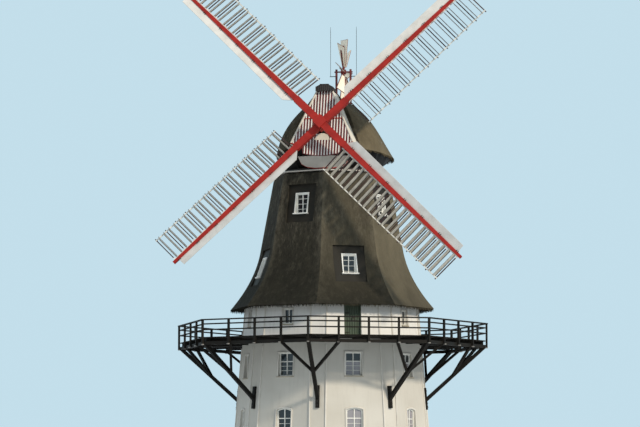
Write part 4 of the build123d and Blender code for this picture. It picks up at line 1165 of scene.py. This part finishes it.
def build_architraves():
    parts = []
    for row in window_rows:
        band = grown(along_lines, architrave_lines(row), plaster_white,
                     Width=band_wide, Depth=band_deep)
        reach = wall_face(0) + band_out
        parts.append(copies(band, [side_place(side, reach, wall_batter) for side in row.sides]))
    mesh = merged(parts)
    piece_from(mesh, "window_architraves", "tower")
    print("architrave faces", len(mesh.polygons))


build_architraves()

# %% [markdown]
# ## Corner beads
# The octagon's corners are cut flat, and a narrow plaster bead runs up each edge of the flat.
# It is only a hand wide, but it catches the low sun as a bright line with a dark one beside
# it, which is how the corners read from afar. A bright line in the limewash would be easier,
# but it would lack the shadow.

# %% Corner beads
corner_flat = 0.9
bead_runs = ((0.05, 8.6), (9.02, 11.0))
bead_wide, bead_deep, bead_out = 0.075, 0.06, 0.015


def flat_edge(level):
    """How far the edge of a corner's flat lies from the middle of a wall."""
    return wall_face(level) * tan(half_turn) - corner_flat / 2 / cos(half_turn)


def build_beads():
    lines = [[(s * flat_edge(level), level) for level in run] for run in bead_runs for s in (-1, 1)]
    bead = grown(along_lines, lines, plaster_white, Width=bead_wide, Depth=bead_deep)
    places = [side_place(side, wall_face(0) + bead_out, wall_batter) for side in all_sides]
    piece_from(copies(bead, places), "corner_beads", "tower")
    print("beads", len(lines) * len(places))


build_beads()

# %% [markdown]
# ## Smock windows
# High in the thatch each window stands upright in a splayed white casing. The panes are small,
# two across and four high, so three thin rails cross each light. The plane of the glass could
# be worked out again from the smock's flare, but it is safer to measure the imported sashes.

# %% Smock windows
light_half, measured_half = 0.33, 0.6
rail_levels = 4
light_rail, light_rail_deep, rail_inset = 0.026, 0.03, 0.02


def side_reach(node, side):
    """How far out a node reaches on one side of the tower, and its lowest and highest level."""
    turn = half_turn * (2 * side - 1)
    out, across = Vector((sin(turn), -cos(turn), 0)), Vector((cos(turn), sin(turn), 0))
    points = [v.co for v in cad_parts[node].data.vertices]
    near = [p for p in points if abs(p.dot(across)) < measured_half and p.dot(out) > 0]
    return max(p.dot(out) for p in near), min(p.z for p in near), max(p.z for p in near)


def build_smock_glazing():
    parts = []
    for side in all_sides:
        reach, low, high = side_reach("smock_window_sashes", side)
        levels = [low + (high - low) / rail_levels * k for k in range(1, rail_levels)]
        lines = [[(-light_half, level), (light_half, level)] for level in levels]
        bars = grown(along_lines, lines, frame_white, Width=light_rail, Depth=light_rail_deep)
        parts.append(copies(bars, [side_place(side, reach - rail_inset)]))
    mesh = merged(parts)
    piece_from(mesh, "smock_glazing_bars", "tower")
    print("smock glazing faces", len(mesh.polygons))


build_smock_glazing()

# %% [markdown]
# ## Doors
# The doors are green planks, ledged and hung on long iron straps, with a ring to pull. On the
# model each leaf is one flat slab. Cutting grooves into it would change the slab, so thin
# planks are laid on it with a gap between, under the arch where there is one, and the iron is
# drawn as lines on top.

# %% Planks
Door = namedtuple("Door", "sill width height rise")
entrance = Door(0.15, 2.20, 2.32, 0.26)
gallery_door = Door(9.0, 1.00, 1.88, 0.0)
door_sides = (1, 5)
plank, plank_gap, plank_thick, plank_foot, plank_top = 0.145, 0.012, 0.024, 0.03, 0.01
leaf_front = 0.013


def arch_height(door, x):
    """Height of a door's head above its sill, at a distance from its middle."""
    if not door.rise:
        return door.height
    radius = ((door.width / 2) ** 2 + door.rise ** 2) / (2 * door.rise)
    return door.height - radius + sqrt(radius ** 2 - x ** 2)


def leaf_half(door):
    return door.width / 2 - frame_wide


def door_places(door, out):
    """A matrix for each side that has this door, at a distance in front of its leaf."""
    reach = wall_face(door.sill + door.height / 2) - reveal - frame_deep + out
    return [side_place(side, reach) for side in door_sides]


def planks_of(door):
    half = leaf_half(door)
    count = int(2 * half / plank)
    width = 2 * half / count
    lines = []
    for k in range(count):
        x = -half + (k + 0.5) * width
        edge = min(half, abs(x) + plank / 2)
        top = door.sill + arch_height(door, edge) - frame_wide - plank_top
        lines.append(((x, door.sill + plank_foot), (x, top)))
    boards = grown(along_lines, lines, door_green, Width=width - plank_gap, Depth=plank_thick)
    return copies(boards, door_places(door, leaf_front))


door_planks = merged([planks_of(door) for door in (entrance, gallery_door)])
piece_from(door_planks, "door_planks", "tower")
print("plank faces", len(door_planks.polygons))

# %% Straps and rings
strap_levels, strap_end = (0.16, 0.74), 0.35
ring_radius, ring_height, ring_across, ring_steps = 0.09, 1.05, 0.12, 12
iron_wide, iron_deep, iron_front = 0.045, 0.012, 0.031
double_width = 1.5


def iron_of(door):
    half = leaf_half(door)
    hung = (-1, 1) if door.width > double_width else (-1,)
    levels = [door.sill + door.height * share for share in strap_levels]
    lines = [[(s * half, level), (s * half * strap_end, level)] for s in hung for level in levels]
    turns = [2 * pi * k / ring_steps for k in range(ring_steps + 1)]
    middle, level = half * ring_across, door.sill + ring_height
    lines.append([(middle + ring_radius * cos(a), level + ring_radius * sin(a)) for a in turns])
    iron = grown(along_lines, lines, dark_iron, Width=iron_wide, Depth=iron_deep)
    return copies(iron, door_places(door, iron_front))


door_iron = merged([iron_of(door) for door in (entrance, gallery_door)])
piece_from(door_iron, "door_ironwork", "tower")
print("ironwork faces", len(door_iron.polygons))

# %% [markdown]
# ## Reed ends at the eaves
# Thatch never ends in a clean edge. Along the skirt of the smock and the eaves of the cap
# short tufts hang out of the cut reed, which break the outline and hide the straight line of
# the solid. The skirt is one line, copied round. The cap's eaves curve, so their lines are
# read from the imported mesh, as its outermost points near the eaves' level.

# %% Reed ends at the eaves
skirt_reach, skirt_level, skirt_end = 5.47, 10.88, 0.02
skirt_tufts = {"Spacing": 0.032, "Length": 0.17, "Radius": 0.022}
eave_tufts = {"Spacing": 0.035, "Length": 0.16, "Radius": 0.022}
cap_eave_level, eave_band, eave_step, eave_least = 19.85, 0.05, 0.35, 0.5
eave_inset, eave_rise = 0.99, 0.03


def cap_eave_lines():
    """The cap's two eaves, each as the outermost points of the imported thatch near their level."""
    outermost = {}
    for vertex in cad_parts["cap_thatch"].data.vertices:
        p = vertex.co
        if abs(p.z - cap_eave_level) < eave_band and abs(p.x) > eave_least:
            key = (p.x > 0, round(p.y / eave_step))
            if key not in outermost or abs(p.x) > abs(outermost[key].x):
                outermost[key] = p
    lines = []
    for right in (False, True):
        side = sorted((p for key, p in outermost.items() if key[0] == right), key=lambda p: p.y)
        lines.append([(p.x * eave_inset, p.y, p.z + eave_rise) for p in side])
    return lines


def build_fringes():
    half = skirt_reach * tan(half_turn) - skirt_end
    edge = [(x, -skirt_reach, skirt_level) for x in (-half, half)]
    skirt = grown(tufts, [edge], thatch_wall, **skirt_tufts)
    places = [Matrix.Rotation(half_turn * (2 * side - 1), 4, "Z") for side in all_sides]
    piece_from(copies(skirt, places), "skirt_reed_fringe", "tower")
    eaves = grown(tufts, cap_eave_lines(), thatch_cap, **eave_tufts)
    piece_from(eaves, "cap_reed_fringe", "cap")
    print("cap fringe faces", len(eaves.polygons))


build_fringes()

# %% [markdown]
# ## Sail cleats
# Where the bars of each sail pass the stock, pairs of small iron cleats hold them. The stock
# tapers, so each pair sits a little closer to its middle than the last. They are drawn once
# along a stock, in the rotor's own plane, and a matrix turns the drawing to the four arms.

# %% Sail cleats
stock_offset, stock_length, boss_reach = 0.195, 11.5, 2.0
stock_width, stock_depth = (0.33, 0.17), (0.31, 0.14)
cleat_first, cleat_pitch, cleat_pairs, cleat_apart = 2.6, 1.42, 7, 0.06
cleat_thick, cleat_under, cleat_out = 0.03, 0.03, 0.06


def arm_place(number):
    """Matrix from an arm's drawing (along, towards the leading edge, forward) to the mill."""
    rotor = axes(hub_place, (1, 0, 0), (0, sin(shaft_tilt), cos(shaft_tilt)), shaft_along)
    offset = stock_offset if number % 2 else -stock_offset
    turn = Matrix.Rotation(radians(sail_turns[number]), 4, "Z")
    return rotor @ turn @ Matrix.Translation((0, 0, offset))


def at_arm(r, size):
    """A size of the stock at a distance from the hub, between its size at the root and tip."""
    root, tip = size
    return root + (tip - root) * (r - boss_reach) / (stock_length - boss_reach)


def build_cleats():
    lines = []
    for k in range(cleat_pairs):
        for shift in (-cleat_apart, cleat_apart):
            r = cleat_first + k * cleat_pitch + shift
            side = at_arm(r, stock_width) / 2
            front = at_arm(r, stock_depth) / 2 + cleat_thick / 2
            lines.append(((r, side - cleat_under, front), (r, side + cleat_out, front)))
    cleats = grown(along_lines, lines, dark_iron, Width=cleat_thick, Depth=cleat_thick)
    piece_from(copies(cleats, [arm_place(number) for number in sail_turns]), "sail_cleats", "sails")
    print("cleats", len(lines) * len(sail_turns))


build_cleats()

# %% [markdown]
# ## Shutter shade lines
# A dark batten along the rear edge of every shutter is painted shade: it stands in for the shade
# that falls between the shutters. Seen edge on, as on the upper right sail, these dark lines are
# what shows of the shutters, and on the lower sails each pale slat has its dark line. The sail
# twists from root to tip, and the lines follow the same slope.

# %% Shutter shade lines
sail_start, lattice_end, sail_bays = 2.1, 11.3, 12
weather = (tan(radians(14)), tan(radians(6)))
shutter_turn, shutter_half = radians(80), 0.19
shade_line_wide, shade_line_deep = 0.03, 0.08
stock_gap, lath_gap = 0.07, 0.035


def on_sail(r, t):
    """A point of the twisted sail, along its stock and across it."""
    share = (r - sail_start) / (lattice_end - sail_start)
    slope = weather[0] + (weather[1] - weather[0]) * share
    return Vector((r, t, slope * t))


def build_shutter_shade_lines():
    out = shutter_half - shade_line_deep / 2
    to_edge = Vector((cos(shutter_turn), 0, -sin(shutter_turn))) * out
    step = (lattice_end - sail_start) / sail_bays / 2
    lines = []
    for k in range(2 * sail_bays):
        r = sail_start + (k + 0.5) * step
        near, far = -at_arm(r, stock_width) / 2 - stock_gap, -outer_lath_reach + lath_gap
        lines.append([on_sail(r, t) + to_edge for t in (near, far)])
    # Painted shade: a dark line along the rear edge of each shutter.
    rails = grown(along_lines, lines, shutter_shade_dark, Width=shade_line_wide, Depth=shade_line_deep)
    piece_from(copies(rails, [arm_place(number) for number in sail_turns]), "shutter_shade_lines", "sails")
    print("shutter rails", len(lines) * len(sail_turns))


build_shutter_shade_lines()

# %% [markdown]
# ## Fan blades
# The small fan that turns the cap into the wind has cream boards edged with dark red battens.
# Their lines follow the outline of one blade, and eight matrices pitch it and set it round the
# axle, in the same order as the blade itself was made.

# %% Fan blades
fan_place, fan_blades = (0, 5.15, 25.57), 8
fan_root, fan_tip = 0.42, 1.95
fan_root_half, fan_tip_half = 0.13, 0.34
fan_pitch = radians(45)
fan_board_face = 0.052
edge_wide, edge_deep = 0.045, 0.02


def build_fan_edges():
    edges = [[(s * fan_root_half, fan_root), (s * fan_tip_half, fan_tip)] for s in (-1, 1)]
    edges.append([(-fan_tip_half, fan_tip), (fan_tip_half, fan_tip)])
    strips = grown(along_lines, edges, fan_red, Width=edge_wide, Depth=edge_deep)
    strips.transform(Matrix.Translation((0, 0, fan_board_face + edge_deep / 2)))
    strips.transform(Matrix.Rotation(fan_pitch, 4, "Y"))
    stand = Matrix.Translation(fan_place) @ Matrix.Rotation(radians(90), 4, "Y")
    places = [stand @ Matrix.Rotation(2 * pi * k / fan_blades, 4, "Z") for k in range(fan_blades)]
    piece_from(copies(strips, places), "fan_blade_edges", "fan")
    print("fan edges on", len(places), "blades")


build_fan_edges()

# %% [markdown]
# ## Rod points
# The lightning rods on the fan stage end in long drawn-out points, too thin to matter to the
# model, though from the ground they make the rods look a third longer. Each is a slim prism
# with six sides, which a swept bar can't be, since it narrows. Its foot sits on the top of the
# packed rod, which is read from the mesh.

# %% Rod points
point_length, point_sides = 0.34, 6
point_foot, point_tip, point_sunk = 0.014, 0.006, 0.02
level_with, close_by = 0.001, 0.1


def rod_tops():
    """Middle of each rod's top, from the vertices level with its highest one and close by."""
    points = [v.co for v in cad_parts["lightning_rods"].data.vertices]
    middles = []
    for right in (False, True):
        top = max((p for p in points if (p.x > 0) == right), key=lambda p: p.z)
        near = [p for p in points
                if abs(p.z - top.z) < level_with and abs(p.x - top.x) < close_by]
        middles.append(sum(near, Vector()) / len(near))
    return middles


def build_rod_points():
    bm = bmesh.new()
    turns = [2 * pi * k / point_sides for k in range(point_sides)]
    for middle in rod_tops():
        rings = [[middle + Vector((radius * cos(a), radius * sin(a), height)) for a in turns]
                 for radius, height in ((point_foot, -point_sunk), (point_tip, point_length))]
        solid(bm, *rings)
    piece_from(mesh_of(bm), "rod_points", "cap", dark_iron)
    print("rod points", len(rod_tops()))


build_rod_points()

# %% [markdown]
# ## Feet of the railing posts
# Each railing post stands outside the deck, and its foot ends in a pale block with eased
# edges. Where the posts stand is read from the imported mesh: its lowest vertices are sorted
# into small squares, and neighbours that belong to one post are taken as one.

# %% Feet of the railing posts
post_square, post_apart, lowest_band = 0.3, 0.35, 0.01
foot_size, foot_half_high, foot_bevel = 0.12, 0.03, 0.008


def post_middles():
    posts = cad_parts["railing_posts"].data
    low = min(v.co.z for v in posts.vertices)
    feet = {}
    for v in posts.vertices:
        if v.co.z - low < lowest_band:
            key = (round(v.co.x / post_square), round(v.co.y / post_square))
            feet.setdefault(key, []).append(v.co.copy())
    middles = []
    for points in feet.values():
        middle = sum(points, Vector()) / len(points)
        if all((middle - other).length > post_apart for other in middles):
            middles.append(middle)
    return middles


def build_post_feet():
    bm = bmesh.new()
    rise = Vector((0, 0, foot_half_high))
    middles = post_middles()
    for middle in middles:
        out = Vector((middle.x, middle.y, 0)).normalized()
        bar(bm, middle - rise, middle + rise, foot_size, foot_size, out)
    piece_from(mesh_of(bm, foot_bevel), "railing_post_feet", "tower", foot_grey)
    print("post feet", len(middles))


build_post_feet()

# %% [markdown]
# ## Bolts of the struts
# Iron bolts with square washers hold the struts in the posts on the tower's corners. Both are
# short bars that point outwards, so the tree for lines makes them too, once with the size of
# the washer and once with that of the bolt's end.

# %% Bolts of the struts
bolt_levels = (5.2, 5.42, 6.12)
wall_post_out = 0.13
washer_wide, washer_thick = 0.09, 0.012
bolt_wide, bolt_long = 0.04, 0.04


def bolt_lines(length):
    lines = []
    narrowing = (base_ground - base_gallery) / gallery_level
    for k in range(8):
        out = Vector((sin(2 * half_turn * k), -cos(2 * half_turn * k), 0))
        for level in bolt_levels:
            flat = base_ground - narrowing * level - corner_flat / 2 * tan(half_turn)
            foot = out * (flat + wall_post_out) + Vector((0, 0, level))
            lines.append((foot, foot + out * length))
    return lines


washers = grown(along_lines, bolt_lines(washer_thick), dark_iron,
                Width=washer_wide, Depth=washer_wide)
bolts = grown(along_lines, bolt_lines(bolt_long), dark_iron, Width=bolt_wide, Depth=bolt_wide)
piece_from(merged([washers, bolts]), "strut_bolts", "tower")
print("bolts", len(bolt_lines(bolt_long)))
